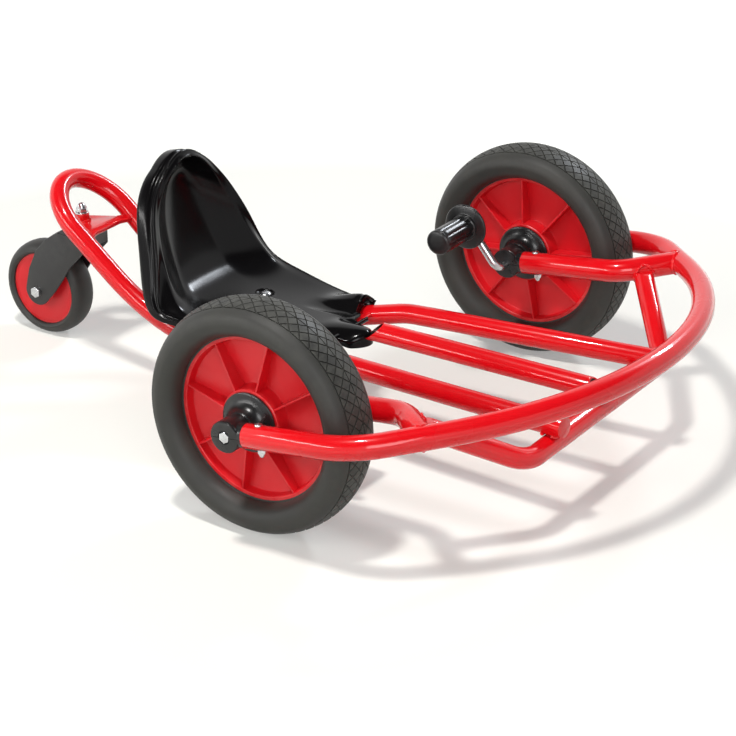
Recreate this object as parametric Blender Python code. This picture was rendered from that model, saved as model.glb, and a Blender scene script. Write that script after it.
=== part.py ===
"""Swing car: a low three-wheeled hand-cranked ride-on. Two large front wheels are turned by cranks,
a swivelling caster follows behind the bucket seat, and a tube hoop runs round the front.

Axes: +X is the driver's left, +Y points to the rear, +Z is up, z = 0 is the floor.
Pieces are placed from the point on the floor under the front axle and then moved together,
so that the origin is the bottom centre of the whole car.
"""

import math

import bmesh
import bpy
from mathutils import Matrix, Vector

# General fits
GAP = 0.0003                    # clearance between two pieces that touch
RUNNING_GAP = 0.0005            # clearance between faces that turn past each other

# Big wheels
WHEEL_RADIUS = 0.1375
WHEEL_OFFSET = 0.300            # centre plane of a wheel from the centre plane of the car
TYRE_HALF_WIDTH = 0.0350
TYRE_SHOULDER_RADIUS = 0.1197
TYRE_SHOULDER_DROP = 0.0030
TYRE_CROWN_FLAT = 0.16          # share of the half width that is flat at the top
TYRE_CROWN_SHARES = (0.60, 0.90)
TYRE_SIDE_POINT = (0.0280, 0.1060)
TYRE_BEAD_RADIUS = 0.0990
TYRE_LIP_RADIUS = 0.0966
RIM_HALF_WIDTH = 0.0127
RIM_RING_WALL = 0.0038
RIM_WEB_HALF = 0.0022
RIM_RIB_COUNT = 8
RIM_RIB_HALF = 0.0016
RIM_BOSS_RADIUS = 0.0375
RIM_BOSS_HALF = 0.0207
RIM_DRAFT = 0.0015
RIM_RIB_OVERLAP = 0.0030        # rib's length inside the boss
KEY_CLEARANCE = 0.0030          # key's height beyond the round of the axle
RIM_RIB_TURN = {"right": math.radians(-33.5), "left": math.radians(-7.0)}
WHEEL_SEGMENTS = 28

# Hub bells, the flared covers that turn with a wheel on both its faces
BELL_FLANGE_RADIUS = 0.0350
BELL_FLANGE_THICKNESS = 0.0030
BELL_SEGMENTS = 14
BELL_FLARE = ((0.0025, 0.0270), (0.0085, 0.0200))

# Tubes
FORK_TUBE_RADIUS = 0.0140       # hoop and inner arms
RAIL_TUBE_RADIUS = 0.0125       # main loop, centre rail and lower front bar
TUBE_WALL = 0.0020
TUBE_SIDES = 12
ARC_STEP = math.radians(15.0)   # largest turn between two points of a bend

# Fork that carries each big wheel: hoop end outside, inner arm inside
FORK_HALF_SPAN = 0.0555         # tube centreline from the wheel's centre plane
FORK_TUBE_START = 0.0212        # tube end in front of the axle
FORK_BORE_ROOM = 0.0060         # bore's length beyond the spigot
FORK_RISE = math.atan(0.1272)   # the fork tubes climb towards the front
HOOP_REACH = 0.3440             # centreline at the very front, ahead of the axle
HOOP_FRONT_RADIUS = 0.3980
HOOP_SWEEP = math.radians(45.0)
HOOP_CORNER_RADIUS = 0.1000
ARM_BEND_REACH = 0.1533         # where an inner arm turns out, ahead of the axle
ARM_BEND_RADIUS = 0.0500
ARM_TURN = math.radians(44.0)

# Lower front bar, a U that drops from the inner arms
CROSS_BAR_REACH = 0.2605
CROSS_BAR_HEIGHT = 0.0935
CROSS_BAR_CORNER = 0.1620
CROSS_BAR_BEND_RADIUS = 0.0530
STRUT_TOP_OFFSET = 0.2660
STRUT_TOP_REACH = 0.1750
STRUT_TRIM = 0.0135             # how far below the arm's top a strut ends

# Main loop: two rails under the seat and the loop behind it, one bent tube
RAIL_TIP_OFFSET = 0.1107
RAIL_TIP_REACH = 0.2780
RAIL_BEND = (0.0850, 0.0530, 0.1100)
RAIL_BEND_RADIUS = 0.1200
HEEL_BEND = (0.0470, 0.3120, 0.0500)
HEEL_BEND_RADIUS = 0.2400
LOOP_START = (0.0520, 0.4630, 0.1750)
LOOP_LENGTH = 0.0680
LOOP_STEPS = 6
CENTRE_RAIL_TAIL = 0.0530       # rear end of the centre rail's bottom wall
CENTRE_RAIL_CUT = math.radians(45.0)
CENTRE_RAIL_SETBACK = 0.0080    # front end behind the tips of the outer rails
CENTRE_RAIL_CAP = 0.0100        # solid length at the closed front end

# Straps welded across the rails
STRAP_THICKNESS = 0.0040
TIE_STRAP_FRONT = 0.0770
TIE_STRAP_REAR = 0.0950
TIE_TONGUE_FRONT = 0.0505
TIE_TONGUE_HALF = 0.0070
BOLT_STRAP_WIDTH = 0.0300

# Domes on the closed nuts
DOME_SHARE = 0.46               # dome's radius as a share of the width across flats
DOME_SINK = 0.0005
DOME_STEPS = (math.radians(25.0), math.radians(65.0))

# Bearing blocks
AXLE_RADIUS = 0.0054
BLOCK_RADIUS = 0.0185
BLOCK_HALF_LENGTH = 0.0140
BLOCK_SEGMENTS = 12
SPIGOT_LENGTH = 0.0290
BLOCK_SCREW_REACH = 0.0385
BLOCK_SCREW_RADIUS = 0.0025
BLOCK_SCREW_HEAD_RADIUS = 0.0045
BLOCK_SCREW_HEAD_HEIGHT = 0.0027
BLOCK_SCREW_END = 0.0060        # thread below the tube, inside the dome nut
BLOCK_NUT_ACROSS_FLATS = 0.0080
BLOCK_NUT_HEIGHT = 0.0095
AXLE_NUT_ACROSS_FLATS = 0.0120
AXLE_NUT_HEIGHT = 0.0062
NUT_POCKET_ROOM = 0.0008

# Cranks and grips
CRANK_PLANE = 0.0880            # arm of the crank, inwards from the wheel's centre plane
CRANK_THROW = 0.0661
CRANK_ANGLE = {"right": math.radians(-111.3), "left": math.radians(50.2)}
CRANK_BEND_RADIUS = 0.0110
CRANK_FLATS = 0.0088
CRANK_BEND_STEP = math.radians(23.0)
CRANK_END_SINK = 0.0030         # rod's end inside the grip
STUD_RADIUS = 0.0037            # thin end that the axle nut sits on
STUD_LENGTH = 0.0040
STUD_SINK = 0.0004
GRIP_GUARD_RADIUS = 0.0290
GRIP_GUARD_THICKNESS = 0.0040
GRIP_RADIUS = 0.0160
GRIP_LENGTH = 0.0660
GRIP_TO_CRANK = 0.0011          # free space between the guard and the arm of the crank
GRIP_FLUTE_COUNT = 9
GRIP_FLUTE_DEPTH = 0.0011
GRIP_CAP_THICKNESS = 0.0050
GRIP_POCKET_RADIUS = 0.0105
GRIP_POCKET_DEPTH = 0.0080
GRIP_COLLAR_RADIUS = 0.0172
GRIP_COLLAR_LENGTH = 0.0045
GRIP_MOUTH_WIDENING = 0.0022    # bore's flare towards the crank's bend
GRIP_MOUTH_DEPTH = 0.0055
GRIP_CAP_CHAMFER = 0.0050
GRIP_CAP_PLUG = 0.0022
RETAINER_RADIUS = 0.0092
RETAINER_THICKNESS = 0.0015

# Caster
SWIVEL_BACK = 0.4957            # swivel axis behind the front axle
CASTER_TRAIL = 0.0593
CASTER_RADIUS = 0.0634
CASTER_HALF_WIDTH = 0.0190
CASTER_CORE_RADIUS = 0.0480
CASTER_CORE_HALF = 0.0140
CASTER_SEGMENTS = 20
FORK_LEG_INSIDE = 0.0235
FORK_LEG_THICKNESS = 0.0035
FORK_CUP_RADIUS = 0.0202
FORK_CUP_BOTTOM = 0.1320
FORK_CUP_TOP = 0.1560
FORK_LEG_REAR = ((-0.0180, 0.1400), (-0.0010, 0.1215), (0.0120, 0.0940))
FORK_LEG_FRONT = ((-0.0302, 0.0694), (-0.0449, 0.0900), (-0.0560, 0.1075), (-0.0670, 0.1195))
RACE_THICKNESS = 0.0046
HEAD_TUBE_RADIUS = 0.0097
HEAD_TUBE_HEIGHT = 0.0155
BRACKET_THICKNESS = 0.0050
BRACKET_FRONT = 0.4400
BRACKET_HALF_WIDTH = 0.0520
BRACKET_ABOVE_RACE = 0.0020
BRACKET_EAR_LENGTH = 0.0180     # straight side beside the rear loop
BRACKET_WAIST = (0.0340, 0.4680)
BRACKET_DIP = (0.0240, 0.0120)
BRACKET_NOSE_RADIUS = 0.0170
STEM_RADIUS = 0.0040
STEM_HEAD_RADIUS = 0.0068
STEM_HEAD_HEIGHT = 0.0050
STEM_NUT_HEIGHT = 0.0060
STEM_NUT_DOME = 0.0062
STEM_PROUD = 0.0035             # stem's end inside the dome, above the nut's flats
WASHER_RADIUS = 0.0090
WASHER_THICKNESS = 0.0014
CASTER_NUT_ACROSS_FLATS = 0.0130
CASTER_BOLT_HEAD_HEIGHT = 0.0050
CASTER_NUT_HEIGHT = 0.0065
CASTER_BUSH_RADIUS = 0.0075
CASTER_BOSS_HALF = 0.0195
CASTER_BOSS_RADII = (0.0130, 0.0160)
CASTER_DISH = (0.0120, 0.0400)  # half width next to the boss and where the dish meets the ring
CASTER_SHOULDER_RADIUS = 0.0530
CASTER_CROWN_RADIUS = 0.0520    # crown of the tread rises from here
CASTER_CROWN_SHARES = (0.55, 0.85)
FORK_TIP_RADIUS = 0.0190
CASTER_AXLE_RADIUS = 0.0040

# Seat shell
SEAT_WALL = 0.0035
SEAT_BOLT_OFFSET = 0.0300
SEAT_BOLT_BACK = 0.2290
SEAT_BOLT_RADIUS = 0.0030
SEAT_BOLT_HEAD_RADIUS = 0.0075
SEAT_BOLT_HEAD_HEIGHT = 0.0034
SEAT_BOLT_PROUD = 0.0015        # bolt's end below its nut
SEAT_NUT_HEIGHT = 0.0050
SEAT_NUT_ACROSS_FLATS = 0.0100
SEAT_BOLT_SINK = 0.0012         # flat pocket under a bolt head, below the pan's surface
SEAT_BOSS_RADIUS = 0.0090
SEAT_BOSS_DROP = 0.0030
SEAT_RIB_BACK = 0.0860
SEAT_RIB_HALF = 0.0450
SEAT_RIB_THICKNESS = 0.0040
SEAT_RIB_SINK = 0.0005          # rib's top below the hoods' base
SEAT_EDGE_POWER = 2.6           # how late a row bends from its centre to its edge
SEAT_POCKET_ROOM = 0.0014       # pocket's radius beyond a bolt head's
NOTCH_ROOM = 0.0020             # room round the tie strap's tongue

# Places worked out from the sizes above
AXLE_HEIGHT = WHEEL_RADIUS
RAIL_HEIGHT = CROSS_BAR_HEIGHT + 2.0 * RAIL_TUBE_RADIUS + GAP
HOOP_HALF_WIDTH = WHEEL_OFFSET + FORK_HALF_SPAN
ARM_OFFSET = WHEEL_OFFSET - FORK_HALF_SPAN
BELL_END = FORK_HALF_SPAN - BLOCK_HALF_LENGTH - RUNNING_GAP
FRONT_REACH = HOOP_REACH + FORK_TUBE_RADIUS
REAR_REACH = SWIVEL_BACK + CASTER_TRAIL + CASTER_RADIUS
AXLE_FROM_ORIGIN = 0.5 * (FRONT_REACH - REAR_REACH)
FORK_FORWARD = Vector((0.0, -math.cos(FORK_RISE), math.sin(FORK_RISE)))
FORK_UPWARD = Vector((0.0, math.sin(FORK_RISE), math.cos(FORK_RISE)))
AXLE_POINT = Vector((0.0, 0.0, AXLE_HEIGHT))
SWIVEL_POINT = Vector((0.0, SWIVEL_BACK, FORK_CUP_TOP))
CASTER_POINT = Vector((0.0, SWIVEL_BACK + CASTER_TRAIL, CASTER_RADIUS))

SIDES = {"right": -1.0, "left": 1.0}


# Materials: colour as seen, then roughness and metallic
FINISHES = {
    "red_paint": ((0.80, 0.02, 0.03), 0.25, 0.0),
    "red_plastic": ((0.62, 0.03, 0.03), 0.40, 0.0),
    "black_plastic": ((0.012, 0.012, 0.012), 0.22, 0.0),
    "grey_plastic": ((0.045, 0.045, 0.045), 0.45, 0.0),
    "tyre_rubber": ((0.040, 0.040, 0.036), 0.65, 0.0),
    "zinc_steel": ((0.75, 0.75, 0.72), 0.25, 1.0),
}


def finish_material(piece, finish):
    colour, roughness, metallic = FINISHES[finish]
    material = bpy.data.materials.new(piece)
    material.use_nodes = True
    shader = material.node_tree.nodes["Principled BSDF"]
    shader.inputs["Base Color"].default_value = (*colour, 1.0)
    shader.inputs["Roughness"].default_value = roughness
    shader.inputs["Metallic"].default_value = metallic
    return material


# Modelling helpers

def clear_scene():
    for item in list(bpy.data.objects):
        bpy.data.objects.remove(item, do_unlink=True)


def place(name, mesh):
    piece = bpy.data.objects.new(name, mesh)
    bpy.context.scene.collection.objects.link(piece)
    return piece


def mesh_of(name, form):
    """Turn a bmesh into a placed object whose faces all point outwards."""
    bmesh.ops.remove_doubles(form, verts=form.verts, dist=0.000001)
    bmesh.ops.recalc_face_normals(form, faces=form.faces)
    mesh = bpy.data.meshes.new(name)
    form.to_mesh(mesh)
    form.free()
    return place(name, mesh)


def bake(piece):
    """Apply what the object's modifiers and curve settings make."""
    bpy.context.view_layer.update()
    graph = bpy.context.evaluated_depsgraph_get()
    mesh = bpy.data.meshes.new_from_object(piece.evaluated_get(graph))
    name = piece.name
    matrix = piece.matrix_world.copy()
    bpy.data.objects.remove(piece, do_unlink=True)
    mesh.transform(matrix)
    mesh.name = name
    return place(name, mesh)


def combine(piece, tool, operation, solver):
    """Boolean with a helper solid, which is used up."""
    tool.hide_render = True
    tool.display_type = "WIRE"
    modifier = piece.modifiers.new(operation.lower(), "BOOLEAN")
    modifier.operation = operation
    modifier.solver = solver
    modifier.object = tool
    name = piece.name
    result = bake(piece)
    result.name = name
    bpy.data.objects.remove(tool, do_unlink=True)
    return result


def cut(piece, tool, solver="EXACT"):
    return combine(piece, tool, "DIFFERENCE", solver)


def join(piece, tool, solver="EXACT"):
    return combine(piece, tool, "UNION", solver)


def frame_on(direction):
    """Matrix whose local Z runs along a direction."""
    z_axis = Vector(direction).normalized()
    side = Vector((1.0, 0.0, 0.0))
    if abs(z_axis.x) > 0.9:
        side = Vector((0.0, 1.0, 0.0))
    y_axis = z_axis.cross(side).normalized()
    x_axis = y_axis.cross(z_axis)
    return Matrix((x_axis, y_axis, z_axis)).transposed().to_4x4()


def turned(name, profile, segments, at=(0.0, 0.0, 0.0), along=(0.0, 0.0, 1.0), flat_down=False):
    """Spin a closed outline of (distance along the axis, radius) points round an axis."""
    form = bmesh.new()
    corners = [form.verts.new((radius, 0.0, distance)) for distance, radius in profile]
    pairs = zip(corners, corners[1:] + corners[:1])
    edges = [form.edges.new(pair) for pair in pairs if pair[0].co.x + pair[1].co.x > 0.000001]
    bmesh.ops.spin(form, geom=corners + edges, cent=(0, 0, 0), axis=(0, 0, 1), angle=math.tau,
                   steps=segments, use_merge=True)
    if flat_down:
        bmesh.ops.rotate(form, verts=form.verts, matrix=Matrix.Rotation(math.pi / segments, 3, "Z"))
    bmesh.ops.transform(form, verts=form.verts, matrix=Matrix.Translation(at) @ frame_on(along))
    return mesh_of(name, form)


def rod(name, start, end, radius, sides=TUBE_SIDES):
    start = Vector(start)
    run = Vector(end) - start
    outline = [(0.0, 0.0), (0.0, radius), (run.length, radius), (run.length, 0.0)]
    return turned(name, outline, sides, start, run)


def hexagon(name, start, end, across_flats, dome=0.0):
    """Hexagonal nut or head between two points, with an optional domed end."""
    start = Vector(start)
    run = Vector(end) - start
    corner = 0.5 * across_flats / math.cos(math.pi / 6.0)
    form = bmesh.new()
    bmesh.ops.create_cone(form, cap_ends=True, segments=6, radius1=corner, radius2=corner, depth=run.length)
    bmesh.ops.translate(form, verts=form.verts, vec=(0.0, 0.0, 0.5 * run.length))
    bmesh.ops.transform(form, verts=form.verts, matrix=Matrix.Translation(start) @ frame_on(run))
    body = mesh_of(name, form)
    if dome:
        ball = DOME_SHARE * across_flats
        rows = [(run.length - DOME_SINK, 0.0), (run.length - DOME_SINK, ball)]
        for angle in DOME_STEPS:
            rows.append((run.length + dome * math.sin(angle), ball * math.cos(angle)))
        rows.append((run.length + dome, 0.0))
        body = join(body, turned("dome", rows, 8, start, run))
    return body


def block(name, low, high):
    form = bmesh.new()
    bmesh.ops.create_cube(form, size=1.0)
    size = [high[i] - low[i] for i in range(3)]
    middle = [0.5 * (high[i] + low[i]) for i in range(3)]
    bmesh.ops.scale(form, verts=form.verts, vec=size)
    bmesh.ops.translate(form, verts=form.verts, vec=middle)
    return mesh_of(name, form)


def plate(name, outline, start, end, axis):
    """Extrude a flat outline from one coordinate to another along X, Y or Z."""
    order = {"X": (2, 0, 1), "Y": (0, 2, 1), "Z": (0, 1, 2)}[axis]

    def corner(point, depth):
        local = (point[0], point[1], depth)
        return Vector([local[order[i]] for i in range(3)])

    form = bmesh.new()
    face = form.faces.new([form.verts.new(corner(point, start)) for point in outline])
    grown = bmesh.ops.extrude_face_region(form, geom=[face])
    moved = [item for item in grown["geom"] if isinstance(item, bmesh.types.BMVert)]
    bmesh.ops.translate(form, verts=moved, vec=corner((0.0, 0.0), end - start) - corner((0.0, 0.0), 0.0))
    return mesh_of(name, form)


def arc_points(centre, radius, start, end, step):
    """Points of a plane arc as (x, y), both ends included."""
    count = max(2, math.ceil(abs(end - start) / step))
    angles = [start + (end - start) * i / count for i in range(count + 1)]
    return [(centre[0] + radius * math.cos(a), centre[1] + radius * math.sin(a)) for a in angles]


def rounded(corners, radii, step=ARC_STEP):
    """Polyline through corners, each inner corner rounded by an arc of its own radius."""
    points = [Vector(corners[0])]
    for i, radius in enumerate(radii, start=1):
        here = Vector(corners[i])
        back = (Vector(corners[i - 1]) - here).normalized()
        ahead = (Vector(corners[i + 1]) - here).normalized()
        half = 0.5 * back.angle(ahead)
        tangent = radius / math.tan(half)
        centre = here + (back + ahead).normalized() * (radius / math.sin(half))
        first = here + back * tangent - centre
        last = here + ahead * tangent - centre
        turn = math.pi - 2.0 * half
        count = max(2, math.ceil(turn / step))
        for k in range(count + 1):
            share = k / count
            weight_first = math.sin((1.0 - share) * turn) / math.sin(turn)
            weight_last = math.sin(share * turn) / math.sin(turn)
            points.append(centre + first * weight_first + last * weight_last)
    points.append(Vector(corners[-1]))
    return points


def tube(name, route, radius, sides=TUBE_SIDES):
    """Bent round bar along a route, from a curve with a round bevel and filled caps."""
    data = bpy.data.curves.new(name, "CURVE")
    data.dimensions = "3D"
    data.bevel_depth = radius
    data.bevel_resolution = (sides - 4) // 2
    data.use_fill_caps = True
    data.twist_mode = "MINIMUM"
    spline = data.splines.new("POLY")
    spline.points.add(len(route) - 1)
    for point, position in zip(spline.points, route):
        point.co = (*position, 1.0)
    piece = bake(place(name, data))
    form = bmesh.new()
    form.from_mesh(piece.data)
    bpy.data.objects.remove(piece, do_unlink=True)
    return mesh_of(name, form)


def shade(piece, limit=40.0):
    piece.data.shade_smooth()
    piece.data.set_sharp_from_angle(angle=math.radians(limit))


# Routes of the frame tubes

def on_fork_plane(x, reach):
    """Point at a distance ahead of the axle on the rising plane of the hoop and the arms."""
    return Vector((x, -reach, AXLE_HEIGHT + reach * math.tan(FORK_RISE)))


def fork_tube_end(x):
    return AXLE_POINT + Vector((x, 0.0, 0.0)) + FORK_FORWARD * FORK_TUBE_START


def hoop_route():
    centre = HOOP_REACH - HOOP_FRONT_RADIUS
    quarter = 0.5 * math.pi
    front = arc_points((0.0, centre), HOOP_FRONT_RADIUS, quarter, quarter - HOOP_SWEEP, ARC_STEP)
    meet_x, meet_reach = front[-1]
    corner_reach = meet_reach - (HOOP_HALF_WIDTH - meet_x) * math.tan(HOOP_SWEEP)
    start = fork_tube_end(HOOP_HALF_WIDTH)
    corners = [(meet_x, meet_reach, 0.0), (HOOP_HALF_WIDTH, corner_reach, 0.0),
               (HOOP_HALF_WIDTH, -start.y, 0.0)]
    bend = rounded(corners, [HOOP_CORNER_RADIUS])
    half = [on_fork_plane(x, reach) for x, reach in front[:-1]] + [on_fork_plane(p.x, p.y) for p in bend]
    mirrored = [Vector((-p.x, p.y, p.z)) for p in reversed(half[1:])]
    return mirrored + half


def arm_route(side):
    slope = 1.0 / math.tan(ARM_TURN)
    meet_x = HOOP_FRONT_RADIUS * math.sin(HOOP_SWEEP)
    meet_reach = HOOP_REACH - HOOP_FRONT_RADIUS + HOOP_FRONT_RADIUS * math.cos(HOOP_SWEEP)
    line = 1.0 / math.tan(HOOP_SWEEP)
    x = (meet_x + (meet_reach - ARM_BEND_REACH) * line + ARM_OFFSET * slope * line) / (1.0 + slope * line)
    reach = ARM_BEND_REACH + (x - ARM_OFFSET) * slope
    start = fork_tube_end(ARM_OFFSET)
    flat = rounded([(ARM_OFFSET, -start.y, 0.0), (ARM_OFFSET, ARM_BEND_REACH, 0.0), (x, reach, 0.0)],
                   [ARM_BEND_RADIUS])
    return [on_fork_plane(side * p.x, p.y) for p in flat]


def lower_bar_route():
    top = on_fork_plane(STRUT_TOP_OFFSET, STRUT_TOP_REACH)
    corners = [
        (-top.x, top.y, top.z),
        (-CROSS_BAR_CORNER, -CROSS_BAR_REACH, CROSS_BAR_HEIGHT),
        (CROSS_BAR_CORNER, -CROSS_BAR_REACH, CROSS_BAR_HEIGHT),
        tuple(top),
    ]
    return rounded(corners, [CROSS_BAR_BEND_RADIUS, CROSS_BAR_BEND_RADIUS])


def main_loop_route():
    rise = (Vector(LOOP_START) - Vector(HEEL_BEND))
    rise.x = 0.0
    rise.normalize()
    half = rounded([(RAIL_TIP_OFFSET, -RAIL_TIP_REACH, RAIL_HEIGHT), RAIL_BEND, HEEL_BEND, LOOP_START],
                   [RAIL_BEND_RADIUS, HEEL_BEND_RADIUS])
    for i in range(1, LOOP_STEPS + 1):
        turn = 0.5 * math.pi * i / LOOP_STEPS
        along = rise * (LOOP_LENGTH * math.sin(turn))
        side = LOOP_START[0] * math.cos(turn)
        half.append(Vector((side, LOOP_START[1] + along.y, LOOP_START[2] + along.z)))
    half[-1].x = 0.0
    mirrored = [Vector((-p.x, p.y, p.z)) for p in reversed(half[:-1])]
    return half + mirrored


def rail_at(back):
    """Centre of the left rail between its two bends, at a distance behind the axle."""
    share = (back - RAIL_BEND[1]) / (HEEL_BEND[1] - RAIL_BEND[1])
    return Vector(RAIL_BEND).lerp(Vector(HEEL_BEND), share)


# Frame

def fork_bore(side_x):
    """Cutter for the open end of a fork tube and for its screw hole."""
    start = AXLE_POINT + Vector((side_x, 0.0, 0.0))
    depth = FORK_TUBE_START + SPIGOT_LENGTH + FORK_BORE_ROOM
    bore = rod("bore", start, start + FORK_FORWARD * depth, FORK_TUBE_RADIUS - TUBE_WALL)
    return join(bore, screw_hole(side_x))


def screw_hole(side_x):
    middle = AXLE_POINT + Vector((side_x, 0.0, 0.0)) + FORK_FORWARD * BLOCK_SCREW_REACH
    reach = FORK_UPWARD * (FORK_TUBE_RADIUS + 0.004)
    return rod("screw_hole", middle - reach, middle + reach, BLOCK_SCREW_RADIUS + GAP, 8)


def make_bumper_hoop():
    hoop = tube("bumper_hoop", hoop_route(), FORK_TUBE_RADIUS)
    for side in SIDES.values():
        hoop = cut(hoop, fork_bore(side * HOOP_HALF_WIDTH))
    return hoop


def make_inner_arm(side_name):
    side = SIDES[side_name]
    arm = tube(side_name + "_inner_arm", arm_route(side), FORK_TUBE_RADIUS)
    arm = cut(arm, tube("cope", hoop_route(), FORK_TUBE_RADIUS + GAP))
    return cut(arm, fork_bore(side * ARM_OFFSET))


def make_lower_front_bar():
    bar = tube("lower_front_bar", lower_bar_route(), RAIL_TUBE_RADIUS)
    for side in SIDES.values():
        bar = cut(bar, tube("cope", arm_route(side), FORK_TUBE_RADIUS + GAP))
        outside = on_fork_plane(side * STRUT_TOP_OFFSET, STRUT_TOP_REACH)
        outside.z += FORK_TUBE_RADIUS
        scrap = 2.0 * RAIL_TUBE_RADIUS
        low = outside - Vector((scrap, scrap, STRUT_TRIM))
        bar = cut(bar, block("scrap", low, outside + Vector((scrap, scrap, scrap))))
    return bar


def make_main_loop_tube():
    return tube("main_loop_tube", main_loop_route(), RAIL_TUBE_RADIUS)


def make_centre_rail():
    tip = (0.0, -RAIL_TIP_REACH + CENTRE_RAIL_SETBACK, RAIL_HEIGHT)
    run = 3.0 * RAIL_TUBE_RADIUS
    tail = (0.0, CENTRE_RAIL_TAIL + run, RAIL_HEIGHT)
    rail = rod("centre_rail", tip, tail, RAIL_TUBE_RADIUS)
    bore_start = (0.0, tip[1] + CENTRE_RAIL_CAP, RAIL_HEIGHT)
    bore_end = (0.0, tail[1] + CENTRE_RAIL_CAP, RAIL_HEIGHT)
    rail = cut(rail, rod("bore", bore_start, bore_end, RAIL_TUBE_RADIUS - TUBE_WALL), "MANIFOLD")
    bottom = Vector((0.0, CENTRE_RAIL_TAIL, RAIL_HEIGHT - RAIL_TUBE_RADIUS))
    slope = Vector((0.0, -math.cos(CENTRE_RAIL_CUT), math.sin(CENTRE_RAIL_CUT)))
    low = bottom - slope * run
    high = bottom + slope * 2.0 * run
    far = bottom.y + 2.0 * run
    outline = [(low.y, low.z), (far, low.z), (far, high.z), (high.y, high.z)]
    return cut(rail, plate("oblique", outline, -run, run, "X"), "MANIFOLD")


def make_rail_tie_strap():
    top = RAIL_HEIGHT - RAIL_TUBE_RADIUS - GAP
    reach = rail_at(TIE_STRAP_FRONT).x
    half = TIE_TONGUE_HALF
    outline = [(-reach, TIE_STRAP_FRONT), (-half, TIE_STRAP_FRONT), (-half, TIE_TONGUE_FRONT),
               (half, TIE_TONGUE_FRONT), (half, TIE_STRAP_FRONT), (reach, TIE_STRAP_FRONT),
               (reach, TIE_STRAP_REAR), (-reach, TIE_STRAP_REAR)]
    strap = plate("rail_tie_strap", outline, top - STRAP_THICKNESS, top, "Z")
    return cut(strap, tube("cope", main_loop_route(), RAIL_TUBE_RADIUS + GAP))


def make_seat_bolt_strap():
    top = seat_boss_bottom() - GAP
    rail = rail_at(SEAT_BOLT_BACK)
    outer = rail.x + 0.5 * STRAP_THICKNESS
    inner = outer - STRAP_THICKNESS
    foot = rail.z
    outline = [(-outer, foot), (-outer, top), (outer, top), (outer, foot), (inner, foot),
               (inner, top - STRAP_THICKNESS), (-inner, top - STRAP_THICKNESS), (-inner, foot)]
    front = SEAT_BOLT_BACK - 0.5 * BOLT_STRAP_WIDTH
    strap = plate("seat_bolt_strap", outline, front, front + BOLT_STRAP_WIDTH, "Y")
    strap = cut(strap, tube("cope", main_loop_route(), RAIL_TUBE_RADIUS + GAP))
    for side in SIDES.values():
        spot = Vector((side * SEAT_BOLT_OFFSET, SEAT_BOLT_BACK, top))
        reach = Vector((0.0, 0.0, 2.5 * STRAP_THICKNESS))
        strap = cut(strap, rod("hole", spot - reach, spot + reach, SEAT_BOLT_RADIUS + GAP))
    return strap


# Seat shell

SEAT_ROWS = [
    # centre back, centre height, half width, edge forward, edge up, skirt back, skirt down
    (0.0670, 0.1000, 0.0940, 0.0000, 0.0000, 0.000, 0.003),
    (0.0682, 0.1070, 0.0940, 0.0000, 0.0000, 0.000, 0.004),
    (0.0750, 0.1125, 0.0940, 0.0000, 0.0000, 0.000, 0.006),
    (0.0885, 0.1148, 0.0940, 0.0000, -0.0005, 0.000, 0.008),
    (0.1105, 0.1150, 0.0940, 0.0000, -0.0055, 0.000, 0.010),
    (0.1350, 0.1140, 0.0975, 0.0000, -0.0050, 0.000, 0.012),
    (0.1650, 0.1135, 0.101, 0.0000, -0.0021, 0.000, 0.013),
    (0.1980, 0.1140, 0.104, 0.0000, 0.0027, 0.000, 0.013),
    (0.2290, 0.1155, 0.108, 0.0000, 0.0070, 0.001, 0.012),
    (0.2560, 0.1190, 0.114, 0.0020, 0.0052, 0.003, 0.010),
    (0.2800, 0.1275, 0.1185, 0.0080, 0.0005, 0.010, 0.011),
    (0.2980, 0.1430, 0.1170, 0.0165, -0.0070, 0.018, 0.012),
    (0.3080, 0.1630, 0.1070, 0.0200, -0.0030, 0.026, 0.012),
    (0.3165, 0.1900, 0.0970, 0.0180, 0.0000, 0.028, 0.003),
    (0.3240, 0.2150, 0.0873, 0.0150, 0.0000, 0.028, 0.001),
    (0.3290, 0.2380, 0.0728, 0.0115, 0.0000, 0.028, 0.000),
    (0.3320, 0.2570, 0.0575, 0.0090, 0.0000, 0.028, 0.000),
    (0.3335, 0.2720, 0.0420, 0.0090, 0.0000, 0.028, 0.001),
    (0.3340, 0.2840, 0.0250, 0.0080, 0.0000, 0.028, 0.003),
    (0.3320, 0.2945, 0.0090, 0.0030, 0.0000, 0.028, 0.005),
]
SEAT_COLUMNS = [0.0, 0.20, 0.33, 0.44, 0.55, 0.66, 0.775, 0.89, 1.0]
SEAT_TONGUE_LIFT = (0.28, 0.44)     # share of the half width where the tongue's lip rises
SEAT_TONGUE_SIDE = (0.33, 0.60)     # share where the front edge steps back to the hoods
SEAT_HOOD_FRONT = 0.1105
SEAT_HOOD_OFFSET = 0.0725
SEAT_HOOD_HALF = 0.0215
SEAT_HOOD_RISE = 0.0115
SEAT_HOOD_BASE = 0.1125
SEAT_HOOD_TAIL = 0.1700
SEAT_STEP_SHARE = 0.94              # how far the front rows close up under the hoods
SEAT_LIP_SLOPE = 0.03
SEAT_VALLEY_OFFSET = 0.0430         # dip between the tongue and a hood
SEAT_VALLEY_HALF = 0.0180
SEAT_VALLEY_DEPTH = 0.0060
SEAT_VALLEY_FRONT = (0.0980, 0.1120)
SEAT_VALLEY_TAIL = (0.1300, 0.1750)


def seat_floor_height():
    """Height of the pan's upper face at the seat bolts."""
    rows = [row for row in SEAT_ROWS if row[0] == SEAT_BOLT_BACK]
    return rows[0][1]


def seat_head_height():
    """Height of the flat that a seat bolt's head sits on."""
    return seat_floor_height() - SEAT_BOLT_SINK


def seat_boss_bottom():
    return seat_floor_height() - SEAT_WALL - SEAT_BOSS_DROP


def smooth_step(value, low, high):
    share = min(1.0, max(0.0, (value - low) / (high - low)))
    return share * share * (3.0 - 2.0 * share)


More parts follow.
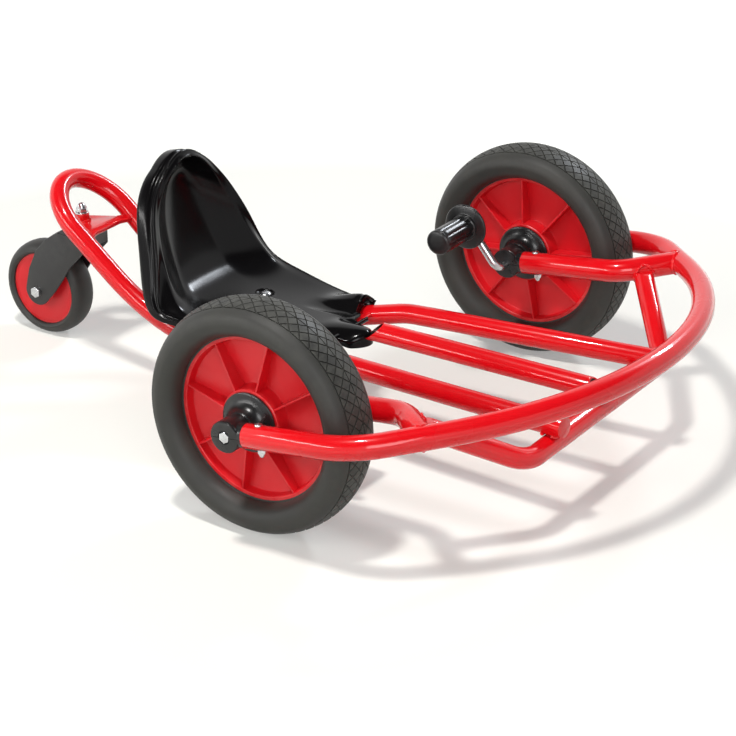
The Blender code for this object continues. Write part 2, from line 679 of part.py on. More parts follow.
def seat_point(row, column):
    back, height, half_width, edge_forward, edge_up, _, _ = row
    share = abs(column)
    x = half_width * column
    curve = share ** SEAT_EDGE_POWER
    y = back - edge_forward * curve
    z = height + edge_up * curve
    if back < SEAT_HOOD_FRONT:
        step_back = smooth_step(share, *SEAT_TONGUE_SIDE)
        lift = smooth_step(share, *SEAT_TONGUE_LIFT)
        y += SEAT_STEP_SHARE * (SEAT_HOOD_FRONT - back) * step_back
        z += (SEAT_HOOD_BASE + SEAT_LIP_SLOPE * (back - SEAT_ROWS[0][0]) - height) * lift
    hood = max(0.0, 1.0 - ((abs(x) - SEAT_HOOD_OFFSET) / SEAT_HOOD_HALF) ** 2)
    z += SEAT_HOOD_RISE * hood * (1.0 - smooth_step(y, SEAT_HOOD_FRONT, SEAT_HOOD_TAIL))
    valley = max(0.0, 1.0 - ((abs(x) - SEAT_VALLEY_OFFSET) / SEAT_VALLEY_HALF) ** 2)
    window = smooth_step(y, *SEAT_VALLEY_FRONT) * (1.0 - smooth_step(y, *SEAT_VALLEY_TAIL))
    z -= SEAT_VALLEY_DEPTH * valley * window
    return Vector((x, y, z))


def seat_skirt_point(row, column):
    point = seat_point(row, column)
    return point + Vector((0.0, row[5], -row[6]))


def make_seat_shell():
    columns = [-c for c in reversed(SEAT_COLUMNS[1:])] + SEAT_COLUMNS
    form = bmesh.new()
    grid = [[form.verts.new(seat_point(row, column)) for column in columns] for row in SEAT_ROWS]
    last = len(columns) - 1
    for r in range(len(SEAT_ROWS) - 1):
        for c in range(last):
            form.faces.new((grid[r][c], grid[r][c + 1], grid[r + 1][c + 1], grid[r + 1][c]))
    border = [(r, 0) for r in range(len(SEAT_ROWS))]
    border += [(len(SEAT_ROWS) - 1, c) for c in range(1, last + 1)]
    border += [(r, last) for r in reversed(range(len(SEAT_ROWS) - 1))]
    skirt = [form.verts.new(seat_skirt_point(SEAT_ROWS[r], columns[c])) for r, c in border]
    for i in range(len(border) - 1):
        first = grid[border[i][0]][border[i][1]]
        second = grid[border[i + 1][0]][border[i + 1][1]]
        form.faces.new((first, second, skirt[i + 1], skirt[i]))
    bmesh.ops.recalc_face_normals(form, faces=form.faces)
    mesh = bpy.data.meshes.new("seat_shell")
    form.to_mesh(mesh)
    form.free()
    shell = place("seat_shell", mesh)
    solid = shell.modifiers.new("wall", "SOLIDIFY")
    solid.thickness = SEAT_WALL
    solid.offset = -1.0
    solid.use_even_offset = True
    shell = bake(shell)
    strap_top = RAIL_HEIGHT - RAIL_TUBE_RADIUS - GAP
    rib_low = (-SEAT_RIB_HALF, SEAT_RIB_BACK - 0.5 * SEAT_RIB_THICKNESS, strap_top + GAP)
    rib_high = (SEAT_RIB_HALF, SEAT_RIB_BACK + 0.5 * SEAT_RIB_THICKNESS, SEAT_HOOD_BASE - SEAT_RIB_SINK)
    shell = join(shell, block("rib", rib_low, rib_high), "MANIFOLD")
    for side in SIDES.values():
        x = side * SEAT_BOLT_OFFSET
        low = (x, SEAT_BOLT_BACK, seat_boss_bottom())
        middle = (x, SEAT_BOLT_BACK, seat_floor_height() - 0.6 * SEAT_WALL)
        head = (x, SEAT_BOLT_BACK, seat_head_height())
        above = (x, SEAT_BOLT_BACK, seat_floor_height() + 0.01)
        below = (x, SEAT_BOLT_BACK, seat_boss_bottom() - 0.01)
        shell = join(shell, rod("boss", low, middle, SEAT_BOSS_RADIUS), "MANIFOLD")
        shell = cut(shell, rod("pocket", head, above, SEAT_BOLT_HEAD_RADIUS + SEAT_POCKET_ROOM), "MANIFOLD")
        shell = cut(shell, rod("hole", below, above, SEAT_BOLT_RADIUS + GAP, 8), "MANIFOLD")
    reach = TIE_TONGUE_HALF + NOTCH_ROOM
    notch_low = (-reach, SEAT_ROWS[0][0] - 0.01, SEAT_ROWS[0][1] - 0.01)
    notch_high = (reach, TIE_STRAP_FRONT + NOTCH_ROOM, strap_top + GAP)
    return cut(shell, block("notch", notch_low, notch_high), "MANIFOLD")


# Bearing blocks

def block_solid(side_x, outer):
    """One whole bearing block before it is split into its two halves."""
    middle = AXLE_POINT + Vector((side_x, 0.0, 0.0))
    half = BLOCK_HALF_LENGTH
    barrel_outline = [(-half, 0.0), (-half, BLOCK_RADIUS), (half, BLOCK_RADIUS), (half, 0.0)]
    body = turned("barrel", barrel_outline, BLOCK_SEGMENTS, middle, (1.0, 0.0, 0.0))
    neck_end = FORK_TUBE_START - GAP
    neck_start = middle + FORK_FORWARD * 0.5 * BLOCK_RADIUS
    neck = rod("neck", neck_start, middle + FORK_FORWARD * neck_end, FORK_TUBE_RADIUS)
    body = join(body, neck, "MANIFOLD")
    spigot_radius = (FORK_TUBE_RADIUS - TUBE_WALL) * math.cos(math.pi / TUBE_SIDES) - GAP
    spigot_end = middle + FORK_FORWARD * (neck_end + SPIGOT_LENGTH)
    body = join(body, rod("spigot", neck_start, spigot_end, spigot_radius, 8), "MANIFOLD")
    reach = Vector((half + 0.002, 0.0, 0.0))
    body = cut(body, rod("axle_hole", middle - reach, middle + reach, AXLE_RADIUS + GAP, 10), "MANIFOLD")
    if outer:
        out = Vector((math.copysign(1.0, side_x), 0.0, 0.0))
        floor = middle + out * (half - AXLE_NUT_HEIGHT + STUD_SINK + 0.0001)
        pocket_radius = 0.5 * AXLE_NUT_ACROSS_FLATS / math.cos(math.pi / 6.0) + NUT_POCKET_ROOM
        body = cut(body, rod("nut_pocket", floor, middle + out * (half + 0.002), pocket_radius), "MANIFOLD")
    return cut(body, screw_hole(side_x), "MANIFOLD")


def make_bearing_block(side_name, place_name):
    side = SIDES[side_name]
    outer = place_name == "outer"
    side_x = side * (HOOP_HALF_WIDTH if outer else ARM_OFFSET)
    size = 3.0 * (FORK_TUBE_START + SPIGOT_LENGTH)
    shift = 0.5 * (size - GAP)
    made = []
    for half_name, sign in (("upper", 1.0), ("lower", -1.0)):
        body = block_solid(side_x, outer)
        body.name = f"{side_name}_{place_name}_block_{half_name}"
        form = bmesh.new()
        bmesh.ops.create_cube(form, size=size)
        middle = AXLE_POINT + Vector((side_x, 0.0, 0.0)) - FORK_UPWARD * sign * shift
        turn = Matrix.Translation(middle) @ frame_on(FORK_UPWARD)
        bmesh.ops.transform(form, verts=form.verts, matrix=turn)
        made.append(cut(body, mesh_of("waste", form), "MANIFOLD"))
    return made


def make_block_screw(side_name, place_name):
    side_x = SIDES[side_name] * (HOOP_HALF_WIDTH if place_name == "outer" else ARM_OFFSET)
    middle = AXLE_POINT + Vector((side_x, 0.0, 0.0)) + FORK_FORWARD * BLOCK_SCREW_REACH
    seat = FORK_TUBE_RADIUS + GAP
    head = BLOCK_SCREW_HEAD_RADIUS
    tall = BLOCK_SCREW_HEAD_HEIGHT
    end = -seat - BLOCK_SCREW_END
    outline = [(end, 0.0), (end, BLOCK_SCREW_RADIUS), (seat, BLOCK_SCREW_RADIUS), (seat, head),
               (seat + 0.3 * tall, head), (seat + 0.75 * tall, 0.72 * head), (seat + tall, 0.35 * head),
               (seat + tall, 0.0)]
    screw = turned(f"{side_name}_{place_name}_block_screw", outline, 8, middle, FORK_UPWARD)
    base = middle - FORK_UPWARD * seat
    flat_part = 0.45 * BLOCK_NUT_HEIGHT
    nut = hexagon(f"{side_name}_{place_name}_block_nut", base, base - FORK_UPWARD * flat_part,
                  BLOCK_NUT_ACROSS_FLATS, BLOCK_NUT_HEIGHT - flat_part)
    bore_end = base - FORK_UPWARD * (BLOCK_SCREW_END + 0.0004)
    bore = rod("bore", base + FORK_UPWARD * 0.001, bore_end, BLOCK_SCREW_RADIUS + GAP, 8)
    return [screw, cut(nut, bore)]


# Big wheels

def wheel_middle(side):
    return Vector((side * WHEEL_OFFSET, 0.0, AXLE_HEIGHT))


def flat_radius(radius):
    """Corner radius that puts the flats of a many-sided wheel at a given radius."""
    return radius / math.cos(math.pi / WHEEL_SEGMENTS)


def make_tyre(side_name):
    side = SIDES[side_name]
    crown = WHEEL_RADIUS - TYRE_SHOULDER_RADIUS
    half = [(TYRE_CROWN_FLAT * TYRE_HALF_WIDTH, WHEEL_RADIUS)]
    for share in TYRE_CROWN_SHARES:
        half.append((share * TYRE_HALF_WIDTH, TYRE_SHOULDER_RADIUS + crown * math.sqrt(1.0 - share * share)))
    half += [(TYRE_HALF_WIDTH, TYRE_SHOULDER_RADIUS - TYRE_SHOULDER_DROP), TYRE_SIDE_POINT,
             (RIM_HALF_WIDTH + GAP, TYRE_LIP_RADIUS), (RIM_HALF_WIDTH + GAP, TYRE_BEAD_RADIUS)]
    outline = [(x, flat_radius(r)) for x, r in half]
    outline += [(-x, flat_radius(r)) for x, r in reversed(half)]
    out = (side, 0.0, 0.0)
    return turned(side_name + "_tyre", outline, WHEEL_SEGMENTS, wheel_middle(side), out, flat_down=True)


def make_rim(side_name):
    side = SIDES[side_name]
    outer = TYRE_BEAD_RADIUS - GAP
    ring = TYRE_LIP_RADIUS - RIM_RING_WALL
    bore = AXLE_RADIUS + GAP
    half = [(RIM_BOSS_HALF, bore), (RIM_BOSS_HALF, RIM_BOSS_RADIUS),
            (RIM_WEB_HALF, RIM_BOSS_RADIUS + RIM_DRAFT), (RIM_WEB_HALF, ring - RIM_DRAFT),
            (RIM_HALF_WIDTH, ring), (RIM_HALF_WIDTH, outer)]
    outline = [(x, flat_radius(r)) for x, r in half]
    outline += [(-x, flat_radius(r)) for x, r in reversed(half)]
    middle = wheel_middle(side)
    rim = turned(side_name + "_rim", outline, WHEEL_SEGMENTS, middle, (side, 0.0, 0.0), flat_down=True)
    for face in (1.0, -1.0):
        inner_reach = RIM_BOSS_RADIUS - RIM_RIB_OVERLAP
        outer_reach = ring + 0.5 * RIM_RING_WALL
        rib_outline = [(inner_reach, 0.0), (outer_reach, 0.0),
                       (outer_reach, face * (RIM_HALF_WIDTH - 0.0004)),
                       (inner_reach, face * (RIM_BOSS_HALF - 0.0006))]
        for i in range(RIM_RIB_COUNT):
            rib = plate("rib", rib_outline, -RIM_RIB_HALF, RIM_RIB_HALF, "Z")
            turn = Matrix.Rotation(RIM_RIB_TURN[side_name] + math.tau * i / RIM_RIB_COUNT, 4, "X")
            upright = Matrix(((0, 1, 0, 0), (0, 0, 1, 0), (1, 0, 0, 0), (0, 0, 0, 1)))
            rib.data.transform(Matrix.Translation(middle) @ turn @ upright)
            if (turn @ upright).determinant() < 0:
                rib.data.flip_normals()
            rim = join(rim, rib)
    key_half = RIM_BOSS_HALF - 0.001
    for sign in (1.0, -1.0):
        near = middle.z + sign * (0.5 * CRANK_FLATS + GAP)
        far = middle.z + sign * (AXLE_RADIUS + KEY_CLEARANCE)
        low = (middle.x - key_half, -0.8 * AXLE_RADIUS, min(near, far))
        high = (middle.x + key_half, 0.8 * AXLE_RADIUS, max(near, far))
        rim = join(rim, block("key", low, high))
    return rim


def make_bell(side_name, place_name):
    side = SIDES[side_name]
    away = side if place_name == "outer" else -side
    flange = RIM_BOSS_HALF + GAP
    bore = AXLE_RADIUS + GAP
    face = flange + BELL_FLANGE_THICKNESS
    outline = [(flange, bore), (flange, BELL_FLANGE_RADIUS), (face, BELL_FLANGE_RADIUS)]
    outline += [(face + depth, radius) for depth, radius in BELL_FLARE]
    outline += [(BELL_END, BLOCK_RADIUS), (BELL_END, bore)]
    name = f"{side_name}_{place_name}_bell"
    return turned(name, outline, BELL_SEGMENTS, wheel_middle(side), (away, 0.0, 0.0))


def handle_point(side_name):
    """Where the axis of a grip crosses the centre plane of the car."""
    angle = CRANK_ANGLE[side_name]
    return Vector((0.0, CRANK_THROW * math.cos(angle), AXLE_HEIGHT + CRANK_THROW * math.sin(angle)))


def stud_start():
    """Distance from the car's centre plane to the shoulder behind the axle nut."""
    return HOOP_HALF_WIDTH + BLOCK_HALF_LENGTH - AXLE_NUT_HEIGHT + STUD_SINK


def make_crank_axle(side_name):
    side = SIDES[side_name]
    handle = handle_point(side_name)
    arm_x = side * (WHEEL_OFFSET - CRANK_PLANE)
    tip = side * stud_start()
    grip_end = side * (grip_inner_end() + CRANK_END_SINK)
    corners = [(tip, 0.0, AXLE_HEIGHT), (arm_x, 0.0, AXLE_HEIGHT), (arm_x, handle.y, handle.z),
               (grip_end, handle.y, handle.z)]
    route = rounded(corners, [CRANK_BEND_RADIUS] * 2, CRANK_BEND_STEP)
    crank = tube(side_name + "_crank_axle", route, AXLE_RADIUS)
    root = (tip - side * 0.5 * STUD_LENGTH, 0.0, AXLE_HEIGHT)
    end = (tip + side * STUD_LENGTH, 0.0, AXLE_HEIGHT)
    crank = join(crank, rod("stud", root, end, STUD_RADIUS, 8))
    flats_end = side * (WHEEL_OFFSET - RIM_BOSS_HALF)
    ends = sorted((flats_end, tip + side * 0.01))
    for sign in (1.0, -1.0):
        near = AXLE_HEIGHT + sign * 0.5 * CRANK_FLATS
        far = AXLE_HEIGHT + sign * 2.0 * AXLE_RADIUS
        low = (ends[0], -2.0 * AXLE_RADIUS, min(near, far))
        high = (ends[1], 2.0 * AXLE_RADIUS, max(near, far))
        crank = cut(crank, block("flat", low, high))
    return crank


def make_axle_nut(side_name):
    side = SIDES[side_name]
    start = Vector((side * (stud_start() + GAP), 0.0, AXLE_HEIGHT))
    out = Vector((side, 0.0, 0.0))
    nut = hexagon(side_name + "_axle_nut", start, start + out * AXLE_NUT_HEIGHT, AXLE_NUT_ACROSS_FLATS)
    bore_end = start + out * (STUD_LENGTH + 0.0001)
    return cut(nut, rod("bore", start - out * 0.001, bore_end, STUD_RADIUS + GAP, 8))


# Grips

def grip_outer_end():
    return WHEEL_OFFSET - CRANK_PLANE - AXLE_RADIUS - GRIP_TO_CRANK


def grip_inner_end():
    return grip_outer_end() - GRIP_LENGTH


def make_grip(side_name):
    side = SIDES[side_name]
    outer = grip_outer_end()
    inner = grip_inner_end()
    bore = AXLE_RADIUS + GAP
    guard = outer - GRIP_GUARD_THICKNESS
    collar = guard - GRIP_COLLAR_LENGTH
    pocket = inner + GRIP_POCKET_DEPTH
    outline = [(outer, bore + GRIP_MOUTH_WIDENING), (outer, GRIP_GUARD_RADIUS), (guard, GRIP_GUARD_RADIUS),
               (guard, GRIP_COLLAR_RADIUS), (collar, GRIP_COLLAR_RADIUS), (collar, GRIP_RADIUS),
               (inner, GRIP_RADIUS), (inner, GRIP_POCKET_RADIUS), (pocket, GRIP_POCKET_RADIUS),
               (pocket, bore), (outer - GRIP_MOUTH_DEPTH, bore)]
    at = handle_point(side_name)
    grip = turned(side_name + "_grip", outline, 2 * GRIP_FLUTE_COUNT, at, (side, 0.0, 0.0))
    for vertex in grip.data.vertices:
        offset = Vector((0.0, vertex.co.y - at.y, vertex.co.z - at.z))
        turn = round(math.atan2(offset.z, offset.y) / (math.pi / GRIP_FLUTE_COUNT))
        if abs(offset.length - GRIP_RADIUS) < 0.0001 and turn % 2:
            vertex.co -= offset.normalized() * GRIP_FLUTE_DEPTH
    return grip


def make_grip_retainer(side_name):
    side = SIDES[side_name]
    inner = grip_inner_end() + GRIP_POCKET_DEPTH - GAP
    outer = inner - RETAINER_THICKNESS
    bore = AXLE_RADIUS + GAP
    outline = [(inner, bore), (inner, RETAINER_RADIUS), (outer, RETAINER_RADIUS), (outer, bore)]
    return turned(side_name + "_grip_retainer", outline, 12, handle_point(side_name), (side, 0.0, 0.0))


def make_grip_cap(side_name):
    side = SIDES[side_name]
    inner = grip_inner_end() - GAP
    plug = GRIP_POCKET_RADIUS - GAP
    face = inner - GRIP_CAP_THICKNESS
    outline = [(inner + GRIP_CAP_PLUG, 0.0), (inner + GRIP_CAP_PLUG, plug), (inner, plug),
               (inner, GRIP_RADIUS), (inner - 0.6 * GRIP_CAP_THICKNESS, GRIP_RADIUS),
               (face, GRIP_RADIUS - GRIP_CAP_CHAMFER), (face, 0.0)]
    return turned(side_name + "_grip_cap", outline, 16, handle_point(side_name), (side, 0.0, 0.0))


# Seat bolts

def make_seat_bolt(side_name):
    x = SIDES[side_name] * SEAT_BOLT_OFFSET
    seat = seat_head_height() + GAP
    under = seat_boss_bottom() - STRAP_THICKNESS - 2.0 * GAP
    end = under - SEAT_NUT_HEIGHT - SEAT_BOLT_PROUD
    outline = [(seat + SEAT_BOLT_HEAD_HEIGHT, 0.0), (seat + SEAT_BOLT_HEAD_HEIGHT, 0.0035),
               (seat + 0.6 * SEAT_BOLT_HEAD_HEIGHT, 0.0064), (seat, SEAT_BOLT_HEAD_RADIUS),
               (seat, SEAT_BOLT_RADIUS), (end, SEAT_BOLT_RADIUS), (end, 0.0)]
    bolt = turned(side_name + "_seat_bolt", outline, 12, (x, SEAT_BOLT_BACK, 0.0))
    top = Vector((x, SEAT_BOLT_BACK, under))
    down = Vector((0.0, 0.0, -SEAT_NUT_HEIGHT))
    nut = hexagon(side_name + "_seat_nut", top, top + down, SEAT_NUT_ACROSS_FLATS)
    bore = rod("bore", top - 0.2 * down, top + 1.2 * down, SEAT_BOLT_RADIUS + GAP)
    return [bolt, cut(nut, bore)]


# Caster

def race_top():
    return FORK_CUP_TOP + RUNNING_GAP + RACE_THICKNESS


def head_tube_top():
    return race_top() + GAP + HEAD_TUBE_HEIGHT


def swivel_turned(name, outline, segments=14):
    return turned(name, outline, segments, (0.0, SWIVEL_BACK, 0.0))


def make_caster_head_tube():
    low = race_top() + GAP
    high = head_tube_top()
    bore = STEM_RADIUS + GAP
    outline = [(low, bore), (low, HEAD_TUBE_RADIUS), (high, HEAD_TUBE_RADIUS), (high, bore)]
    return swivel_turned("caster_head_tube", outline)


def make_caster_bracket():
    low = race_top() + BRACKET_ABOVE_RACE
    high = low + BRACKET_THICKNESS
    ear = BRACKET_FRONT + BRACKET_EAR_LENGTH
    start = math.radians(20.0)
    rear = arc_points((0.0, SWIVEL_BACK), BRACKET_NOSE_RADIUS, start, math.pi - start, start)
    waist_x, waist_y = BRACKET_WAIST
    dip_x, dip = BRACKET_DIP
    outline = [(BRACKET_HALF_WIDTH, BRACKET_FRONT), (BRACKET_HALF_WIDTH, ear), (waist_x, waist_y)]
    outline += rear
    outline += [(-waist_x, waist_y), (-BRACKET_HALF_WIDTH, ear), (-BRACKET_HALF_WIDTH, BRACKET_FRONT),
                (-dip_x, BRACKET_FRONT + dip), (dip_x, BRACKET_FRONT + dip)]
    bracket = plate("caster_bracket", outline, low, high, "Z")
    spot = Vector((0.0, SWIVEL_BACK, low))
    reach = Vector((0.0, 0.0, 2.0 * BRACKET_THICKNESS))
    bracket = cut(bracket, rod("hole", spot - reach, spot + 1.5 * reach, HEAD_TUBE_RADIUS + GAP, 20))
    return cut(bracket, tube("cope", main_loop_route(), RAIL_TUBE_RADIUS + GAP))


def make_swivel_race():
    low = FORK_CUP_TOP + RUNNING_GAP
    high = race_top()
    bore = STEM_RADIUS + GAP
    outline = [(low, bore), (low, FORK_CUP_RADIUS - 0.0006), (low + 0.0010, FORK_CUP_RADIUS),
               (high - 0.0015, FORK_CUP_RADIUS - 0.0005), (high, FORK_CUP_RADIUS - 0.004), (high, bore)]
    return swivel_turned("caster_top_race", outline)


def stem_nut_bottom():
    return head_tube_top() + 2.0 * GAP + WASHER_THICKNESS


def make_caster_stem():
    under = FORK_CUP_BOTTOM - GAP
    head = under - STEM_HEAD_HEIGHT
    tip = stem_nut_bottom() + STEM_NUT_HEIGHT + STEM_PROUD
    outline = [(head, 0.0), (head, STEM_HEAD_RADIUS), (under, STEM_HEAD_RADIUS), (under, STEM_RADIUS),
               (tip, STEM_RADIUS), (tip, 0.0)]
    return swivel_turned("caster_stem", outline, 12)


def make_stem_washer():
    low = head_tube_top() + GAP
    high = low + WASHER_THICKNESS
    bore = STEM_RADIUS + GAP
    outline = [(low, bore), (low, WASHER_RADIUS), (high, WASHER_RADIUS), (high, bore)]
    return swivel_turned("caster_stem_washer", outline, 16)


def make_stem_nut():
    base = Vector((0.0, SWIVEL_BACK, stem_nut_bottom()))
    top = base + Vector((0.0, 0.0, STEM_NUT_HEIGHT))
    nut = hexagon("caster_stem_nut", base, top, CASTER_NUT_ACROSS_FLATS, STEM_NUT_DOME)
    under = base - Vector((0.0, 0.0, 0.001))
    above = top + Vector((0.0, 0.0, STEM_PROUD + GAP))
    return cut(nut, rod("bore", under, above, STEM_RADIUS + GAP))


def make_caster_fork():
    axle = CASTER_POINT
    start = math.radians(15.0)
    end = math.radians(-135.0)
    tip = arc_points((axle.y, axle.z), FORK_TIP_RADIUS, start, end, math.radians(38.0))
    outline = [(SWIVEL_BACK - 0.0195, FORK_CUP_TOP - 0.006), (SWIVEL_BACK + 0.0215, FORK_CUP_TOP - 0.002)]
    outline += [(axle.y + back, height) for back, height in FORK_LEG_REAR]
    outline += tip
    outline += [(axle.y + back, height) for back, height in FORK_LEG_FRONT]
    outline.append((SWIVEL_BACK - 0.0195, FORK_CUP_BOTTOM))
    wide = FORK_LEG_INSIDE + FORK_LEG_THICKNESS
    fork = plate("caster_fork", outline, -wide, wide, "X")
    roof = FORK_CUP_BOTTOM + 0.0020
    inside = block("inside", (-FORK_LEG_INSIDE, 0.40, 0.0), (FORK_LEG_INSIDE, 0.70, roof))
    fork = cut(fork, inside)
    cup = [(FORK_CUP_BOTTOM, 0.0), (FORK_CUP_BOTTOM, FORK_CUP_RADIUS - 0.0018),
           (FORK_CUP_BOTTOM + 0.004, FORK_CUP_RADIUS), (FORK_CUP_TOP - 0.001, FORK_CUP_RADIUS),
           (FORK_CUP_TOP, FORK_CUP_RADIUS - 0.001), (FORK_CUP_TOP, 0.0)]
    fork = join(fork, swivel_turned("cup", cup))
    reach = Vector((0.0, 0.0, 0.7 * (FORK_CUP_TOP - FORK_CUP_BOTTOM)))
    middle = Vector((0.0, SWIVEL_BACK, 0.5 * (FORK_CUP_TOP + FORK_CUP_BOTTOM)))
    fork = cut(fork, rod("bore", middle - reach, middle + reach, STEM_RADIUS + GAP))
    across = Vector((1.5 * wide, 0.0, 0.0))
    return cut(fork, rod("hole", axle - across, axle + across, CASTER_AXLE_RADIUS + GAP))


def make_caster_axle():
    out = Vector((1.0, 0.0, 0.0))
    near = CASTER_POINT - out * (FORK_LEG_INSIDE + FORK_LEG_THICKNESS + GAP)
    far = CASTER_POINT + out * (FORK_LEG_INSIDE + FORK_LEG_THICKNESS + GAP)
    head_end = near - out * CASTER_BOLT_HEAD_HEIGHT
    nut_end = far + out * CASTER_NUT_HEIGHT
    head = hexagon("caster_axle_bolt", near, head_end, CASTER_NUT_ACROSS_FLATS)
    bolt = join(head, rod("shank", near - out * 0.002, nut_end + out * 0.0007, CASTER_AXLE_RADIUS))
    nut = hexagon("caster_axle_nut", far, nut_end, CASTER_NUT_ACROSS_FLATS)
    bore = rod("bore", far - out * 0.001, nut_end + out * 0.0015, CASTER_AXLE_RADIUS + GAP)
    return [bolt, cut(nut, bore)]


def make_caster_wheel():
    side_gap = FORK_LEG_INSIDE - GAP
    along = (1.0, 0.0, 0.0)
    bore = CASTER_AXLE_RADIUS + GAP
    bush_outline = [(-side_gap, bore), (-side_gap, CASTER_BUSH_RADIUS), (side_gap, CASTER_BUSH_RADIUS),
                    (side_gap, bore)]
    bush = turned("caster_bush", bush_outline, 14, CASTER_POINT, along)
    dish_half, dish_radius = CASTER_DISH
    core_half = [(CASTER_BOSS_HALF, CASTER_BUSH_RADIUS + GAP), (CASTER_BOSS_HALF, CASTER_BOSS_RADII[0]),
                 (dish_half, CASTER_BOSS_RADII[1]), (CASTER_CORE_HALF, dish_radius),
                 (CASTER_CORE_HALF, CASTER_CORE_RADIUS)]
    core_outline = core_half + [(-x, r) for x, r in reversed(core_half)]
    core = turned("caster_core", core_outline, CASTER_SEGMENTS, CASTER_POINT, along, flat_down=True)
    flat = 1.0 / math.cos(math.pi / CASTER_SEGMENTS)
    crown = CASTER_RADIUS - CASTER_CROWN_RADIUS
    half = [(0.25 * CASTER_HALF_WIDTH, CASTER_RADIUS * flat)]
    for share in CASTER_CROWN_SHARES:
        radius = CASTER_CROWN_RADIUS + crown * math.sqrt(1.0 - share * share)
        half.append((share * CASTER_HALF_WIDTH, radius * flat))
    half += [(CASTER_HALF_WIDTH, CASTER_SHOULDER_RADIUS * flat),
             (CASTER_CORE_HALF + 0.0025, CASTER_CORE_RADIUS + GAP)]
    tyre_outline = half + [(-x, r) for x, r in reversed(half)]
    tyre = turned("caster_tyre", tyre_outline, CASTER_SEGMENTS, CASTER_POINT, along, flat_down=True)
    return [bush, core, tyre]


# Assembly

def hold(empty_name, parent, at, pieces):
    """Empty on a joint's axis, with the pieces that move with it."""
    pivot = bpy.data.objects.new(empty_name, None)
    bpy.context.scene.collection.objects.link(pivot)
    base = parent["at"] if parent else Vector((0.0, 0.0, 0.0))
    pivot.parent = parent["pivot"] if parent else None
    pivot.location = Vector(at) - base
    for piece in pieces:
        piece.parent = pivot
        piece.location = -Vector(at)
    return {"pivot": pivot, "at": Vector(at)}


def dress(pieces, finish):
    for piece in pieces:
        piece.data.materials.clear()
        piece.data.materials.append(finish_material(piece.name, finish))
        shade(piece)


def build():
    clear_scene()
    tubes = [make_main_loop_tube(), make_centre_rail(), make_bumper_hoop(), make_lower_front_bar()]
    tubes += [make_inner_arm(side_name) for side_name in SIDES]
    tubes += [make_rail_tie_strap(), make_seat_bolt_strap(), make_caster_bracket(), make_caster_head_tube()]
    dress(tubes, "red_paint")
    blacks = [make_seat_shell(), make_swivel_race()]
    zincs = []
    for side_name in SIDES:
        bolt, nut = make_seat_bolt(side_name)
        zincs += [bolt, nut]
        for place_name in ("outer", "inner"):
            blacks += make_bearing_block(side_name, place_name)
            zincs += make_block_screw(side_name, place_name)
    zincs += [make_caster_stem(), make_stem_washer(), make_stem_nut()]
    dress(blacks, "black_plastic")
    dress(zincs, "zinc_steel")
    car = hold("swing_car", None, (0.0, 0.0, 0.0), tubes + blacks + zincs)

    for side_name, side in SIDES.items():
        tyre = make_tyre(side_name)
        rim = make_rim(side_name)
        bells = [make_bell(side_name, place_name) for place_name in ("outer", "inner")]
        steel = [make_crank_axle(side_name), make_axle_nut(side_name), make_grip_retainer(side_name)]
        dress([tyre], "tyre_rubber")
        dress([rim], "red_plastic")
        dress(bells, "black_plastic")
        dress(steel, "zinc_steel")
        wheel = hold(side_name + "_wheel_axis", car, wheel_middle(side), [tyre, rim] + bells + steel)
        handle = [make_grip(side_name), make_grip_cap(side_name)]
        dress(handle, "black_plastic")
        grip_axis = handle_point(side_name) + Vector((side * grip_inner_end(), 0.0, 0.0))
        hold(side_name + "_grip_axis", wheel, grip_axis, handle)

    fork = make_caster_fork()
    bolt, nut = make_caster_axle()
    dress([fork], "grey_plastic")
    dress([bolt, nut], "zinc_steel")
    swivel = hold("caster_swivel_axis", car, SWIVEL_POINT, [fork, bolt, nut])
    bush, core, tyre = make_caster_wheel()
    dress([bush], "grey_plastic")
    dress([core], "red_plastic")
    dress([tyre], "tyre_rubber")
    hold("caster_wheel_axis", swivel, CASTER_POINT, [bush, core, tyre])
    car["pivot"].location.y += AXLE_FROM_ORIGIN


build()
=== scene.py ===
import math

import bpy
from mathutils import Matrix, Vector


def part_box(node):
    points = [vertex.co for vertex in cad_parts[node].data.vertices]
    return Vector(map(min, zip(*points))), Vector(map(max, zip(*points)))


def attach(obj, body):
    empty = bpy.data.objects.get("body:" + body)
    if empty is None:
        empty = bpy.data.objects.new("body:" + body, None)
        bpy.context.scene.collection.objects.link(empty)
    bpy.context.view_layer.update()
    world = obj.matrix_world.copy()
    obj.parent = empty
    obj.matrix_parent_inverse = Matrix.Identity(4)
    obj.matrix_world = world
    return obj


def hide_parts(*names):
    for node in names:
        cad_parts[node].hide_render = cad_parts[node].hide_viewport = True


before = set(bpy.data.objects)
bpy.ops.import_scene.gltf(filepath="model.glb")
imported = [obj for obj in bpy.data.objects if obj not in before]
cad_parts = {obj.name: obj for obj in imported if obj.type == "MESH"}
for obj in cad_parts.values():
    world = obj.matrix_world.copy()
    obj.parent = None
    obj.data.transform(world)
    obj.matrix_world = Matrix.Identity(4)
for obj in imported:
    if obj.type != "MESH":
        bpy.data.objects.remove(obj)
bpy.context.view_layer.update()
print("frame loaded:", len(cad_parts), "nodes")

# The car is laid out from the point on the floor under the front axle, then moved to where the frame is
axleLow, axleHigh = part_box("right_tyre")
carShift = Vector((0.0, 0.5 * (axleLow.y + axleHigh.y), 0.0))
gap = 0.0003                        # clearance between two pieces that touch
leastRadius = 0.00001               # a ring this small is merged into one point

